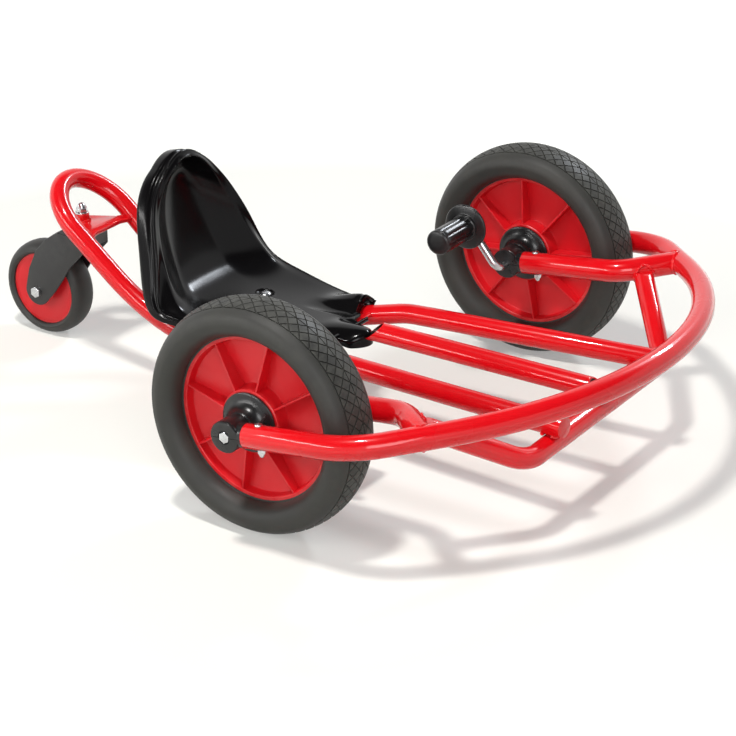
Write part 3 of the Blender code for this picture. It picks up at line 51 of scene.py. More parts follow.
wheelPlan = {"radius": 0.1375, "offset": 0.300, "halfSpan": 0.0555}
forkPlan = {
    "tubeRadius": 0.0140, "railRadius": 0.0125, "wall": 0.0020, "tubeStart": 0.0212, "rise": math.atan(0.1272),
}
axleHeight, wheelOffset, halfSpan = wheelPlan["radius"], wheelPlan["offset"], wheelPlan["halfSpan"]
tubeRadius, railRadius, forkRise = forkPlan["tubeRadius"], forkPlan["railRadius"], forkPlan["rise"]
hoopHalf = wheelOffset + halfSpan
armOffset = wheelOffset - halfSpan
forkForward = Vector((0.0, -math.cos(forkRise), math.sin(forkRise)))
forkUpward = Vector((0.0, math.sin(forkRise), math.cos(forkRise)))
sides = {"right": -1.0, "left": 1.0}
unmoved = Matrix.Identity(4)
mirrored = Matrix.Diagonal((-1.0, 1.0, 1.0, 1.0))
upright = Matrix(((1, 0, 0, 0), (0, 0, 1, 0), (0, 1, 0, 0), (0, 0, 0, 1)))
sideways = Matrix(((0, 0, 1, 0), (1, 0, 0, 0), (0, 1, 0, 0), (0, 0, 0, 1)))


# Small tools for modelling

def setMode(mode):
    bpy.ops.object.mode_set(mode=mode)


def dropSelection():
    if bpy.context.object and bpy.context.object.mode != "OBJECT":
        setMode("OBJECT")
    bpy.ops.object.select_all(action="DESELECT")


def pickPiece(piece):
    dropSelection()
    piece.select_set(True)
    bpy.context.view_layer.objects.active = piece


def pickMesh(kind="VERT", action="SELECT"):
    bpy.ops.mesh.select_mode(type=kind)
    bpy.ops.mesh.select_all(action=action)


def openEdit(piece, kind="VERT"):
    pickPiece(piece)
    setMode("EDIT")
    pickMesh(kind)


def closeEdit(merge=0.00004):
    pickMesh()
    bpy.ops.mesh.remove_doubles(threshold=merge)
    bpy.ops.mesh.normals_make_consistent(inside=False)
    setMode("OBJECT")


def cleanMesh(piece, merge=0.00004):
    openEdit(piece)
    closeEdit(merge)


def applyModifier(piece, kind, **settings):
    pickPiece(piece)
    modifier = piece.modifiers.new(kind.lower(), kind)
    for key, value in settings.items():
        setattr(modifier, key, value)
    bpy.ops.object.modifier_apply(modifier=modifier.name)


def roundEdges(piece, width, segments=2, limit=35.0):
    applyModifier(piece, "BEVEL", width=width, segments=segments, limit_method="ANGLE",
                  angle_limit=math.radians(limit), use_clamp_overlap=True)


# Boolean with a second form, which is used up
def mergeWith(piece, other, operation="UNION"):
    applyModifier(piece, "BOOLEAN", operation=operation, solver="EXACT", object=other)
    bpy.data.objects.remove(other, do_unlink=True)


def cutWith(piece, other):
    mergeWith(piece, other, "DIFFERENCE")


def turnOnto(along):
    zAxis = Vector(along).normalized()
    yAxis = zAxis.cross(Vector((1, 0, 0)) if abs(zAxis.x) < 0.9 else Vector((0, 1, 0))).normalized()
    return Matrix((yAxis.cross(zAxis), yAxis, zAxis)).transposed().to_4x4()


# Put a form modelled round the origin in its place, with the place kept in its mesh
def settle(piece, matrix):
    pickPiece(piece)
    piece.matrix_world = matrix
    bpy.ops.object.transform_apply(location=True, rotation=True, scale=True)


def smooth(piece, limit):
    pickPiece(piece)
    bpy.ops.object.shade_smooth_by_angle(angle=math.radians(limit))


# Ring drawn out and scaled row by row, each row being (distance along the axis, radius)
def turnedForm(rows, steps, at=(0, 0, 0), along=(0, 0, 1), closed=False):
    dropSelection()
    distance, radius = rows[0][0], max(rows[0][1], leastRadius)
    bpy.ops.mesh.primitive_circle_add(vertices=steps, radius=radius, fill_type="NOTHING", location=(0, 0, distance))
    piece = bpy.context.object
    bpy.ops.object.transform_apply(location=True, rotation=False, scale=False)
    openEdit(piece)
    for nextDistance, nextRadius in rows[1:] + (rows[:1] if closed else []):
        nextRadius = max(nextRadius, leastRadius)
        bpy.ops.mesh.extrude_region_move(TRANSFORM_OT_translate={"value": (0, 0, nextDistance - distance)})
        factor = nextRadius / radius
        bpy.ops.transform.resize(value=(factor, factor, 1.0), center_override=(0, 0, nextDistance))
        distance, radius = nextDistance, nextRadius
    closeEdit()
    settle(piece, Matrix.Translation(Vector(at)) @ turnOnto(along))
    return piece


def turnedAcross(rows, steps, at=(0, 0, 0), closed=True):
    return turnedForm(rows, steps, at, (1, 0, 0), closed)


def otherHalf(rows):
    return [(-x, r) for x, r in reversed(rows)]


# Filled ring whose points are moved onto an outline, then drawn out to a thickness
def plateForm(outline, depth, at=(0, 0, 0), matrix=unmoved):
    dropSelection()
    bpy.ops.mesh.primitive_circle_add(vertices=len(outline), radius=1.0, fill_type="NGON")
    piece = bpy.context.object
    for vertex, point in zip(piece.data.vertices, outline):
        vertex.co = (*point, 0.0)
    openEdit(piece, "FACE")
    bpy.ops.mesh.extrude_region_move(TRANSFORM_OT_translate={"value": (0, 0, depth)})
    closeEdit()
    settle(piece, Matrix.Translation(Vector(at)) @ matrix)
    return piece


def boxForm(low, high):
    dropSelection()
    low, high = Vector(low), Vector(high)
    bpy.ops.mesh.primitive_cube_add(size=1.0, location=0.5 * (low + high))
    piece = bpy.context.object
    piece.scale = high - low
    bpy.ops.object.transform_apply(location=True, rotation=True, scale=True)
    return piece


# Curve with a round section along a route, turned into a mesh; a ripple makes it a closed bead
def bentTube(route, radius, around=32, ripple=None):
    dropSelection()
    bpy.ops.curve.primitive_nurbs_path_add()
    line = bpy.context.object.data
    line.splines.clear()
    spline = line.splines.new("POLY")
    spline.points.add(len(route) - 1)
    for i, point in enumerate(route):
        spline.points[i].co = (*point, 1.0)
        if ripple:
            spline.points[i].radius = ripple[i % len(ripple)]
    line.dimensions = "3D"
    line.twist_mode = "MINIMUM"
    line.bevel_depth = radius
    line.bevel_resolution = (around - 4) // 2
    line.use_fill_caps = ripple is None
    if ripple:
        spline.use_cyclic_u = True
    pickPiece(bpy.context.object)
    bpy.ops.object.convert(target="MESH")
    piece = bpy.context.object
    cleanMesh(piece, 0.000002)
    return piece


# Copy with a mesh of its own, moved by a matrix. A mirrored one has its faces turned out again
def copyOf(piece, matrix):
    pickPiece(piece)
    bpy.ops.object.duplicate()
    twin = bpy.context.object
    settle(twin, matrix)
    if matrix.determinant() < 0:
        openEdit(twin)
        bpy.ops.mesh.normals_make_consistent(inside=False)
        setMode("OBJECT")
    return twin


def joinForms(*forms):
    dropSelection()
    for form in forms:
        form.select_set(True)
    bpy.context.view_layer.objects.active = forms[0]
    bpy.ops.object.join()
    return forms[0]


def dropForms(*forms):
    for form in forms:
        bpy.data.objects.remove(form, do_unlink=True)


# Finished piece: smoothed, named, given its finish, moved with the car and riding on its body
def keepPiece(piece, name, body, slotName, limit, *nodes, material=None):
    smooth(piece, limit)
    piece.name = name
    piece.data.name = name
    settle(piece, Matrix.Translation(carShift))
    piece.data.materials.clear()
    piece.data.materials.append(material or finish[slotName])
    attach(piece, body)
    if nodes:
        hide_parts(*nodes)


def keepOnFrame(piece, name, *nodes, limit=32.0, material=None):
    keepPiece(piece, name, "frame", "frame_paint", limit, *nodes, material=material)


# Finishes

# Colour as seen on a screen, 0 to 255, as the shader wants it
def tint(red, green, blue):
    return tuple((c / 12.92 if c <= 0.04045 else ((c + 0.055) / 1.055) ** 2.4)
                 for c in (red / 255.0, green / 255.0, blue / 255.0)) + (1.0,)


def addNode(tree, kind, inputs=None, **settings):
    node = tree.nodes.new("ShaderNode" + kind)
    for key, value in settings.items():
        setattr(node, key, value)
    for socket, value in (inputs or {}).items():
        if isinstance(value, bpy.types.NodeSocket):
            tree.links.new(value, node.inputs[socket])
        else:
            node.inputs[socket].default_value = value
    return node


def mathNode(tree, operation, first, second=0.0, clamp=False):
    return addNode(tree, "Math", {0: first, 1: second}, operation=operation, use_clamp=clamp).outputs[0]


def vectorNode(tree, operation, first, second=(0.0, 0.0, 0.0), output="Vector"):
    return addNode(tree, "VectorMath", {0: first, 1: second}, operation=operation).outputs[output]


# Stretch a value so that low becomes start and high becomes end
def spread(tree, value, low, high, start=0.0, end=1.0):
    return addNode(tree, "MapRange", {"Value": value, "From Min": low, "From Max": high, "To Min": start,
                                      "To Max": end}, clamp=True).outputs["Result"]


def noise(tree, place, scale, detail, roughness=0.5):
    return addNode(tree, "TexNoise", {"Vector": place, "Scale": scale, "Detail": detail,
                                      "Roughness": roughness}).outputs["Fac"]


def mixColour(tree, share, first, second):
    return addNode(tree, "Mix", {0: share, 6: first, 7: second}, data_type="RGBA").outputs[2]


# Node group with a vector and some values in, and values out
def makeGroup(name, inputs, outputs):
    group = bpy.data.node_groups.new(name, "ShaderNodeTree")
    group.interface.new_socket(name="Vector", in_out="INPUT", socket_type="NodeSocketVector")
    for label, value in inputs.items():
        group.interface.new_socket(name=label, in_out="INPUT", socket_type="NodeSocketFloat").default_value = value
    for label in outputs:
        group.interface.new_socket(name=label, in_out="OUTPUT", socket_type="NodeSocketFloat")
    return group, group.nodes.new("NodeGroupInput").outputs, group.nodes.new("NodeGroupOutput").inputs


# Cloudy change of tone and a fine skin, for anything moulded or painted
def makeMottleGroup():
    group, given, result = makeGroup("mottleAndSkin", {"Cloud Scale": 14.0, "Skin Scale": 900.0}, ("Cloud", "Skin"))
    group.links.new(noise(group, given["Vector"], given["Cloud Scale"], 4.0, 0.55), result["Cloud"])
    group.links.new(noise(group, given["Vector"], given["Skin Scale"], 2.0), result["Skin"])
    return group


# Dust that lies on what faces up, broken into patches
def makeDustGroup():
    group, given, result = makeGroup("liftedDust", {"Amount": 0.2}, ("Dust",))
    normal = addNode(group, "NewGeometry").outputs["Normal"]
    upward = spread(group, addNode(group, "SeparateXYZ", {"Vector": normal}).outputs["Z"], 0.2, 1.0)
    patches = spread(group, noise(group, given["Vector"], 31.0, 6.0, 0.68), 0.42, 0.72)
    grains = spread(group, noise(group, given["Vector"], 1400.0, 1.0), 0.35, 0.75)
    dust = mathNode(group, "MULTIPLY", mathNode(group, "MULTIPLY", upward, patches), grains)
    group.links.new(mathNode(group, "MULTIPLY", dust, given["Amount"], clamp=True), result["Dust"])
    return group


# Rubbed edges, and short scratches scattered over the rest
def makeWearGroup():
    amounts = {"Edge Amount": 0.5, "Scratch Amount": 0.3}
    group, given, result = makeGroup("rubbedEdges", amounts, ("Edge", "Scratch"))
    edge = spread(group, addNode(group, "NewGeometry").outputs["Pointiness"], 0.515, 0.60)
    breaks = spread(group, noise(group, given["Vector"], 85.0, 5.0, 0.7), 0.40, 0.62)
    edge = mathNode(group, "MULTIPLY", edge, breaks)
    stretched = addNode(group, "Mapping", {"Vector": given["Vector"], "Rotation": (0.3, 0.5, 0.9),
                                           "Scale": (1.0, 14.0, 9.0)}).outputs["Vector"]
    lines = spread(group, noise(group, stretched, 42.0, 3.0, 0.6), 0.66, 0.74)
    group.links.new(mathNode(group, "MULTIPLY", edge, given["Edge Amount"], clamp=True), result["Edge"])
    group.links.new(mathNode(group, "MULTIPLY", lines, given["Scratch Amount"], clamp=True), result["Scratch"])
    return group


mottleGroup, dustGroup, wearGroup = makeMottleGroup(), makeDustGroup(), makeWearGroup()


# One worked-up material from a dictionary of what a user would change
def makeFinish(look):
    material = bpy.data.materials.new(look["name"])
    material.use_nodes = True
    tree = material.node_tree
    shader = tree.nodes["Principled BSDF"].inputs
    place = addNode(tree, "TexCoord").outputs["Object"]
    mottle = addNode(tree, "Group", {"Vector": place, "Cloud Scale": look["cloudScale"],
                                     "Skin Scale": look["skinScale"]}, node_tree=mottleGroup).outputs
    dust = addNode(tree, "Group", {"Vector": place, "Amount": look["dust"]}, node_tree=dustGroup).outputs["Dust"]
    wear = addNode(tree, "Group", {"Vector": place, "Edge Amount": look["edgeWear"],
                                   "Scratch Amount": look["scratches"]}, node_tree=wearGroup).outputs
    tone = mixColour(tree, spread(tree, mottle["Cloud"], 0.3, 0.7), look["colour"], look["colourDeep"])
    tone = mixColour(tree, wear["Edge"], tone, look["edgeColour"])
    tree.links.new(mixColour(tree, dust, tone, look["dustColour"]), shader["Base Color"])
    rough = spread(tree, mottle["Cloud"], 0.3, 0.7, *look["roughness"])
    rough = mathNode(tree, "ADD", rough, mathNode(tree, "MULTIPLY", wear["Scratch"], 0.25))
    rough = mathNode(tree, "ADD", rough, mathNode(tree, "MULTIPLY", dust, 0.45), clamp=True)
    tree.links.new(rough, shader["Roughness"])
    height = mathNode(tree, "SUBTRACT", mottle["Skin"], mathNode(tree, "MULTIPLY", wear["Scratch"], 0.8))
    bump = addNode(tree, "Bump", {"Height": height, "Strength": look["bump"], "Distance": look["bumpDepth"]})
    tree.links.new(bump.outputs["Normal"], shader["Normal"])
    for socket, key, usual in (("Metallic", "metallic", 0.0), ("Coat Weight", "coat", 0.0),
                               ("Coat Roughness", "coatRoughness", 0.05), ("Specular IOR Level", "specular", 0.5)):
        shader[socket].default_value = look.get(key, usual)
    return material


finishes = {
    "frame_paint": {
        "name": "framePaint", "colour": tint(220, 10, 22), "colourDeep": tint(210, 6, 18),
        "edgeColour": tint(232, 66, 60), "dustColour": tint(226, 150, 140), "cloudScale": 9.0, "skinScale": 620.0,
        "roughness": (0.20, 0.30), "bump": 0.025, "bumpDepth": 0.0003, "dust": 0.06, "edgeWear": 0.20,
        "scratches": 0.20, "coat": 0.60, "coatRoughness": 0.03, "specular": 0.14,
    },
    "wheel_plastic": {
        "name": "wheelPlastic", "colour": tint(208, 16, 28), "colourDeep": tint(198, 12, 24),
        "edgeColour": tint(226, 88, 82), "dustColour": tint(214, 140, 130), "cloudScale": 17.0, "skinScale": 1100.0,
        "roughness": (0.34, 0.44), "bump": 0.10, "bumpDepth": 0.0004, "dust": 0.06, "edgeWear": 0.50,
        "scratches": 0.30, "specular": 0.46,
    },
    "seat_plastic": {
        "name": "seatPlastic", "colour": tint(9, 8, 9), "colourDeep": tint(12, 11, 12),
        "edgeColour": tint(46, 46, 48), "dustColour": tint(100, 98, 95), "cloudScale": 11.0, "skinScale": 260.0,
        "roughness": (0.14, 0.21), "bump": 0.04, "bumpDepth": 0.0005, "dust": 0.03, "edgeWear": 0.22,
        "scratches": 0.25, "specular": 0.16,
    },
    "black_plastic": {
        "name": "blackPlastic", "colour": tint(18, 18, 19), "colourDeep": tint(24, 24, 25),
        "edgeColour": tint(70, 70, 70), "dustColour": tint(110, 108, 104), "cloudScale": 30.0, "skinScale": 900.0,
        "roughness": (0.24, 0.34), "bump": 0.08, "bumpDepth": 0.0004, "dust": 0.08, "edgeWear": 0.35,
        "scratches": 0.30, "specular": 0.45,
    },
    "fork_plastic": {
        "name": "forkPlastic", "colour": tint(34, 34, 35), "colourDeep": tint(42, 42, 42),
        "edgeColour": tint(88, 88, 86), "dustColour": tint(120, 118, 112), "cloudScale": 26.0, "skinScale": 700.0,
        "roughness": (0.38, 0.50), "bump": 0.14, "bumpDepth": 0.0005, "dust": 0.12, "edgeWear": 0.40,
        "scratches": 0.30, "specular": 0.45,
    },
    "tyre": {
        "name": "tyreRubber", "colour": tint(40, 40, 38), "colourDeep": tint(50, 50, 46),
        "edgeColour": tint(84, 84, 78), "dustColour": tint(120, 117, 108), "cloudScale": 24.0, "skinScale": 800.0,
        "roughness": (0.48, 0.62), "bump": 0.16, "bumpDepth": 0.0005, "dust": 0.10, "edgeWear": 0.45,
        "scratches": 0.20, "specular": 0.40,
    },
    "caster_rubber": {
        "name": "casterRubber", "colour": tint(38, 38, 37), "colourDeep": tint(48, 48, 45),
        "edgeColour": tint(80, 80, 76), "dustColour": tint(120, 117, 108), "cloudScale": 40.0, "skinScale": 900.0,
        "roughness": (0.46, 0.58), "bump": 0.15, "bumpDepth": 0.0005, "dust": 0.10, "edgeWear": 0.40,
        "scratches": 0.20, "specular": 0.40,
    },
    "zinc_steel": {
        "name": "zincSteel", "colour": tint(206, 208, 210), "colourDeep": tint(188, 190, 192),
        "edgeColour": tint(236, 236, 236), "dustColour": tint(150, 146, 138), "cloudScale": 120.0,
        "skinScale": 1600.0, "roughness": (0.20, 0.34), "bump": 0.10, "bumpDepth": 0.0003, "dust": 0.10,
        "edgeWear": 0.50, "scratches": 0.40, "metallic": 1.0,
    },
}
finish = {slotName: makeFinish(look) for slotName, look in finishes.items()}
print("finishes made:", len(finish))


# Routes of the frame tubes, the same as the frame was packed with

frameSizes = {
    "hoopReach": 0.3440, "hoopFrontRadius": 0.3980, "hoopSweep": math.radians(45.0), "hoopCorner": 0.1000,
    "armBendReach": 0.1533, "armBendRadius": 0.0500, "armTurn": math.radians(44.0),
    "crossReach": 0.2605, "crossHeight": 0.0935, "crossCorner": 0.1620, "crossBend": 0.0530,
    "strutTopOffset": 0.2660, "strutTopReach": 0.1750,
    "railTip": (0.1107, 0.2780), "railBend": (0.0850, 0.0530, 0.1100), "railBendRadius": 0.1200,
    "heelBend": (0.0470, 0.3120, 0.0500), "heelBendRadius": 0.2400, "loopStart": (0.0520, 0.4630, 0.1750),
    "loopLength": 0.0680, "loopSteps": 24, "centreTail": 0.0680, "centreCut": (-0.22, 0.66, 0.72),
    "centreCutTop": (0.0, 0.0325, 0.1313), "centreSlope": math.radians(38.0), "centreBoreStart": 0.050,
}
railHeight = frameSizes["crossHeight"] + 2.0 * railRadius + gap


def arcPoints(centre, radius, start, end, step=math.radians(3.0)):
    count = max(2, math.ceil(abs(end - start) / step))
    angles = [start + (end - start) * i / count for i in range(count + 1)]
    return [(centre[0] + radius * math.cos(a), centre[1] + radius * math.sin(a)) for a in angles]


def roundedRoute(corners, radii, step=math.radians(3.0)):
    points = [Vector(corners[0])]
    for i, radius in enumerate(radii, start=1):
        here = Vector(corners[i])
        back = (Vector(corners[i - 1]) - here).normalized()
        ahead = (Vector(corners[i + 1]) - here).normalized()
        half = 0.5 * back.angle(ahead)
        tangent = radius / math.tan(half)
        centre = here + (back + ahead).normalized() * (radius / math.sin(half))
        first = here + back * tangent - centre
        last = here + ahead * tangent - centre
        turn = math.pi - 2.0 * half
        count = max(2, math.ceil(turn / step))
        for k in range(count + 1):
            share = k / count
            points.append(centre + first * (math.sin((1.0 - share) * turn) / math.sin(turn))
                          + last * (math.sin(share * turn) / math.sin(turn)))
    points.append(Vector(corners[-1]))
    return points


def onForkPlane(x, reach):
    return Vector((x, -reach, axleHeight + reach * math.tan(forkRise)))


def forkTubeEnd(x):
    return Vector((x, 0.0, axleHeight)) + forkForward * forkPlan["tubeStart"]


def mirrorRoute(points):
    return [Vector((-p.x, p.y, p.z)) for p in reversed(points)]


def hoopRoute():
    s = frameSizes
    front = arcPoints((0.0, s["hoopReach"] - s["hoopFrontRadius"]), s["hoopFrontRadius"], 0.5 * math.pi,
                      0.5 * math.pi - s["hoopSweep"])
    meetX, meetReach = front[-1]
    cornerReach = meetReach - (hoopHalf - meetX) * math.tan(s["hoopSweep"])
    bend = roundedRoute([(meetX, meetReach, 0.0), (hoopHalf, cornerReach, 0.0),
                         (hoopHalf, -forkTubeEnd(hoopHalf).y, 0.0)], [s["hoopCorner"]])
    half = [onForkPlane(x, reach) for x, reach in front[:-1]] + [onForkPlane(p.x, p.y) for p in bend]
    return mirrorRoute(half[1:]) + half


def armRoute(side):
    s = frameSizes
    slope = 1.0 / math.tan(s["armTurn"])
    line = 1.0 / math.tan(s["hoopSweep"])
    meetX = s["hoopFrontRadius"] * math.sin(s["hoopSweep"])
    meetReach = s["hoopReach"] - s["hoopFrontRadius"] + s["hoopFrontRadius"] * math.cos(s["hoopSweep"])
    x = (meetX + (meetReach - s["armBendReach"]) * line + armOffset * slope * line) / (1.0 + slope * line)
    flat = roundedRoute([(armOffset, -forkTubeEnd(armOffset).y, 0.0), (armOffset, s["armBendReach"], 0.0),
                         (x, s["armBendReach"] + (x - armOffset) * slope, 0.0)], [s["armBendRadius"]])
    return [onForkPlane(side * p.x, p.y) for p in flat]


def lowerBarRoute():
    s = frameSizes
    top = onForkPlane(s["strutTopOffset"], s["strutTopReach"])
    x, y, z = s["crossCorner"], -s["crossReach"], s["crossHeight"]
    return roundedRoute([(-top.x, top.y, top.z), (-x, y, z), (x, y, z), tuple(top)], [s["crossBend"]] * 2)


def mainLoopRoute():
    s = frameSizes
    rise = Vector(s["loopStart"]) - Vector(s["heelBend"])
    rise.x = 0.0
    rise.normalize()
    corners = [(s["railTip"][0], -s["railTip"][1], railHeight), s["railBend"], s["heelBend"], s["loopStart"]]
    half = roundedRoute(corners, [s["railBendRadius"], s["heelBendRadius"]])
    x, y, z = s["loopStart"]
    for i in range(1, s["loopSteps"] + 1):
        turn = 0.5 * math.pi * i / s["loopSteps"]
        along = rise * (s["loopLength"] * math.sin(turn))
        half.append(Vector((x * math.cos(turn), y + along.y, z + along.z)))
    half[-1].x = 0.0
    return half + mirrorRoute(half[:-1])


def railAt(back):
    bend, heel = Vector(frameSizes["railBend"]), Vector(frameSizes["heelBend"])
    first, last = frameSizes["railBend"][1], frameSizes["heelBend"][1]
    return bend.lerp(heel, (back - first) / (last - first))


# Frame tubes with their weld beads

beadPlan = {
    "radius": 0.0019, "around": 10, "points": 72, "reach": 0.06, "halvings": 26, "smoothing": 60.0,
    "ripple": (1.0, 1.16, 1.24, 1.16, 1.0, 0.84, 0.76, 0.84), "cope": 0.0012, "strutTrim": 0.0135,
    "railRadius": 0.0021, "railHalf": 0.0085, "railBow": 0.25, "railLow": 0.0118, "railSink": 0.0012,
    "railSteps": 12,
}


def nearestOn(route, point):
    best = None
    for first, second in zip(route, route[1:]):
        run = second - first
        share = max(0.0, min(1.0, (point - first).dot(run) / run.length_squared))
        away = (point - (first + run * share)).length
        best = away if best is None else min(best, away)
    return best


# Bead along the line where a branch tube, given by its end and the point before it, meets another tube's side
def addWeld(name, inside, before, branchRadius, mainRoute):
    direction = Vector(before - inside).normalized()
    turnMatrix = turnOnto(direction)
    points = []
    for i in range(beadPlan["points"]):
        turn = math.tau * i / beadPlan["points"]
        rim = turnMatrix @ Vector((branchRadius * math.cos(turn), branchRadius * math.sin(turn), 0.0))
        low, high = 0.0, beadPlan["reach"]
        for _ in range(beadPlan["halvings"]):
            middle = 0.5 * (low + high)
            if nearestOn(mainRoute, Vector(inside) + rim + direction * middle) < tubeRadius:
                low = middle
            else:
                high = middle
        points.append(Vector(inside) + rim + direction * high)
    bead = bentTube(points, beadPlan["radius"], beadPlan["around"], beadPlan["ripple"])
    keepOnFrame(bead, name, limit=beadPlan["smoothing"])


def buildHoop():
    hoop = bentTube(hoopRoute(), tubeRadius, 40)
    roundEdges(hoop, 0.0006, 2, 60.0)
    keepOnFrame(hoop, "hoop_tube", "bumper_hoop")


def buildArm(sideName):
    route = armRoute(sides[sideName])
    arm = bentTube(route, tubeRadius, 36)
    cutWith(arm, bentTube(hoopRoute(), tubeRadius - beadPlan["cope"], 24))
    roundEdges(arm, 0.0005, 2, 60.0)
    keepOnFrame(arm, f"{sideName}_arm_tube", f"{sideName}_inner_arm")
    addWeld(f"{sideName}_arm_weld", route[-1], route[-2], tubeRadius, hoopRoute())


def buildLowerBar():
    route = lowerBarRoute()
    bar = bentTube(route, railRadius, 36)
    for side in sides.values():
        cutWith(bar, bentTube(armRoute(side), tubeRadius - beadPlan["cope"], 24))
        outside = onForkPlane(side * frameSizes["strutTopOffset"], frameSizes["strutTopReach"])
        scrap = 2.0 * railRadius
        top = outside.z + tubeRadius - beadPlan["strutTrim"]
        cutWith(bar, boxForm((outside.x - scrap, outside.y - scrap, top),
                             (outside.x + scrap, outside.y + scrap, top + scrap)))
    keepOnFrame(bar, "lower_bar_tube", "lower_front_bar")
    for sideName, side in sides.items():
        ordered = route if side < 0 else list(reversed(route))
        addWeld(f"{sideName}_strut_weld", ordered[0], ordered[1], railRadius, armRoute(side))


# Copy of the frame's paint with painted shade inside a bore along Y: a reddish near-black over the tube's unpainted
# steel, darker towards the bore's axis, with no coat
def boreShadeFinish(height, bore):
    paint = finish["frame_paint"]
    material = paint.copy()
    material.name = paint.name + "Bore"
    tree = material.node_tree
    shader = tree.nodes["Principled BSDF"].inputs
    place = addNode(tree, "TexCoord").outputs["Object"]
    across = vectorNode(tree, "MULTIPLY", vectorNode(tree, "SUBTRACT", place, (0.0, 0.0, height)), (1.0, 0.0, 1.0))
    away = vectorNode(tree, "LENGTH", across, output="Value")
    # Mask of the bore's inside, where the painted shade goes
    inside = spread(tree, away, bore + 0.0002, bore + 0.0005, 1.0, 0.0)
    # Painted shade: reddish near-black over the unpainted steel, darker still towards the bore's axis
    boreShade = mixColour(tree, spread(tree, away, 0.8 * bore, bore), tint(28, 16, 15), tint(44, 26, 24))
    painted = shader["Base Color"].links[0].from_socket
    tree.links.new(mixColour(tree, inside, painted, boreShade), shader["Base Color"])
    coat = mathNode(tree, "MULTIPLY", mathNode(tree, "SUBTRACT", 1.0, inside), finishes["frame_paint"]["coat"])
    tree.links.new(coat, shader["Coat Weight"])
    return material


def buildRails():
    loop = bentTube(mainLoopRoute(), railRadius, 36)
    roundEdges(loop, 0.0006, 2, 60.0)
    keepOnFrame(loop, "main_loop", "main_loop_tube")
    s = frameSizes
    bore = railRadius - forkPlan["wall"]
    tip = -s["railTip"][1] + 0.008
    long = s["centreTail"] + railRadius - tip
    start, slope = s["centreBoreStart"], s["centreSlope"]
    end, along = (0.0, tip, railHeight), (0, 1, 0)
    centre = turnedForm([(0.0, 0.0), (0.0, railRadius - 0.0005), (0.0005, railRadius), (long, railRadius),
                         (long, 0.0)], 40, end, along)
    openEdit(centre)
    for place, facing in ((s["centreCutTop"], s["centreCut"]),
                          ((0.0, tip + 0.001, railHeight - railRadius), (0.0, -math.cos(slope), math.sin(slope)))):
        bpy.ops.mesh.select_all(action="SELECT")
        bpy.ops.mesh.bisect(plane_co=place, plane_no=facing, clear_outer=True, use_fill=True)
    closeEdit()
    past = long + 0.01
    cutWith(centre, turnedForm([(start, 0.0), (start, bore), (past, bore), (past, 0.0)], 40, end, along))
    roundEdges(centre, 0.0006, 2, 50.0)
    # The centre rail's bore gets painted shade inside
    keepOnFrame(centre, "centre_rail_tube", "centre_rail", material=boreShadeFinish(railHeight, bore))


# Short fillet beads where the three rails lie across the lower bar
def buildRailWelds():
    b = beadPlan
    wide, offset = b["railHalf"], frameSizes["railTip"][0]
    for name, x in (("right", -offset), ("left", offset), ("centre", 0.0)):
        for label, back in (("front", -wide), ("rear", wide)):
            route = []
            for i in range(b["railSteps"] + 1):
                across = 2.0 * i / b["railSteps"] - 1.0
                bowed = back * (1.0 - b["railBow"] * across * across) - frameSizes["crossReach"]
                rise = railRadius - math.sqrt(max(0.0, railRadius ** 2 - (across * wide) ** 2))
                route.append(Vector((x + across * wide, bowed, railHeight - b["railLow"] + rise - b["railSink"])))
            keepOnFrame(bentTube(route, b["railRadius"], 10), f"{name}_rail_weld_{label}", limit=b["smoothing"])


buildHoop()
for sideName in sides:
    buildArm(sideName)
buildLowerBar()
buildRails()
buildRailWelds()
print("frame tubes made")


# Straps under the seat, and the caster's bracket and head tube

strapPlan = {
    "thickness": 0.0040, "tieFront": 0.0930, "tieEnd": 0.0950, "tieRear": 0.1040, "tongueFront": 0.0575,
    "tongueHalf": 0.0070, "boltWidth": 0.0300, "boltOffset": 0.0300, "boltBack": 0.2290,
}
seatPlan = {"wall": 0.0035, "bossDrop": 0.0030, "panHeight": 0.1155, "boltSink": 0.0012}
bossBottom = seatPlan["panHeight"] - seatPlan["wall"] - seatPlan["bossDrop"]
seatAt = seatPlan["panHeight"] - seatPlan["boltSink"]


def copeOut(piece):
    cutWith(piece, bentTube(mainLoopRoute(), railRadius - 0.0002, 28))


def buildStraps():
    p = strapPlan
    thick, front, tongue = p["thickness"], p["tieFront"], p["tongueHalf"]
    reach = railAt(front).x
    outline = [(-reach, p["tieEnd"]), (-0.6 * reach, front), (-tongue, front), (-tongue, p["tongueFront"]),
               (tongue, p["tongueFront"]), (tongue, front), (0.6 * reach, front), (reach, p["tieEnd"]),
               (reach, p["tieRear"]), (-reach, p["tieRear"])]
    tie = plateForm(outline, thick, (0.0, 0.0, railHeight - railRadius - gap - thick))
    roundEdges(tie, 0.0009, 2, 50.0)
    copeOut(tie)
    keepOnFrame(tie, "tie_strap", "rail_tie_strap")

    top = bossBottom - gap
    rail = railAt(p["boltBack"])
    outer = rail.x + 0.5 * thick
    inner = outer - thick
    under = top - thick
    outline = [(-outer, rail.z), (-outer, top), (outer, top), (outer, rail.z), (inner, rail.z), (inner, under),
               (-inner, under), (-inner, rail.z)]
    bridge = plateForm(outline, p["boltWidth"], (0.0, p["boltBack"] - 0.5 * p["boltWidth"], 0.0), upright)
    cleanMesh(bridge)
    roundEdges(bridge, 0.0012, 3, 50.0)
    copeOut(bridge)
    keepOnFrame(bridge, "seat_strap", "seat_bolt_strap")


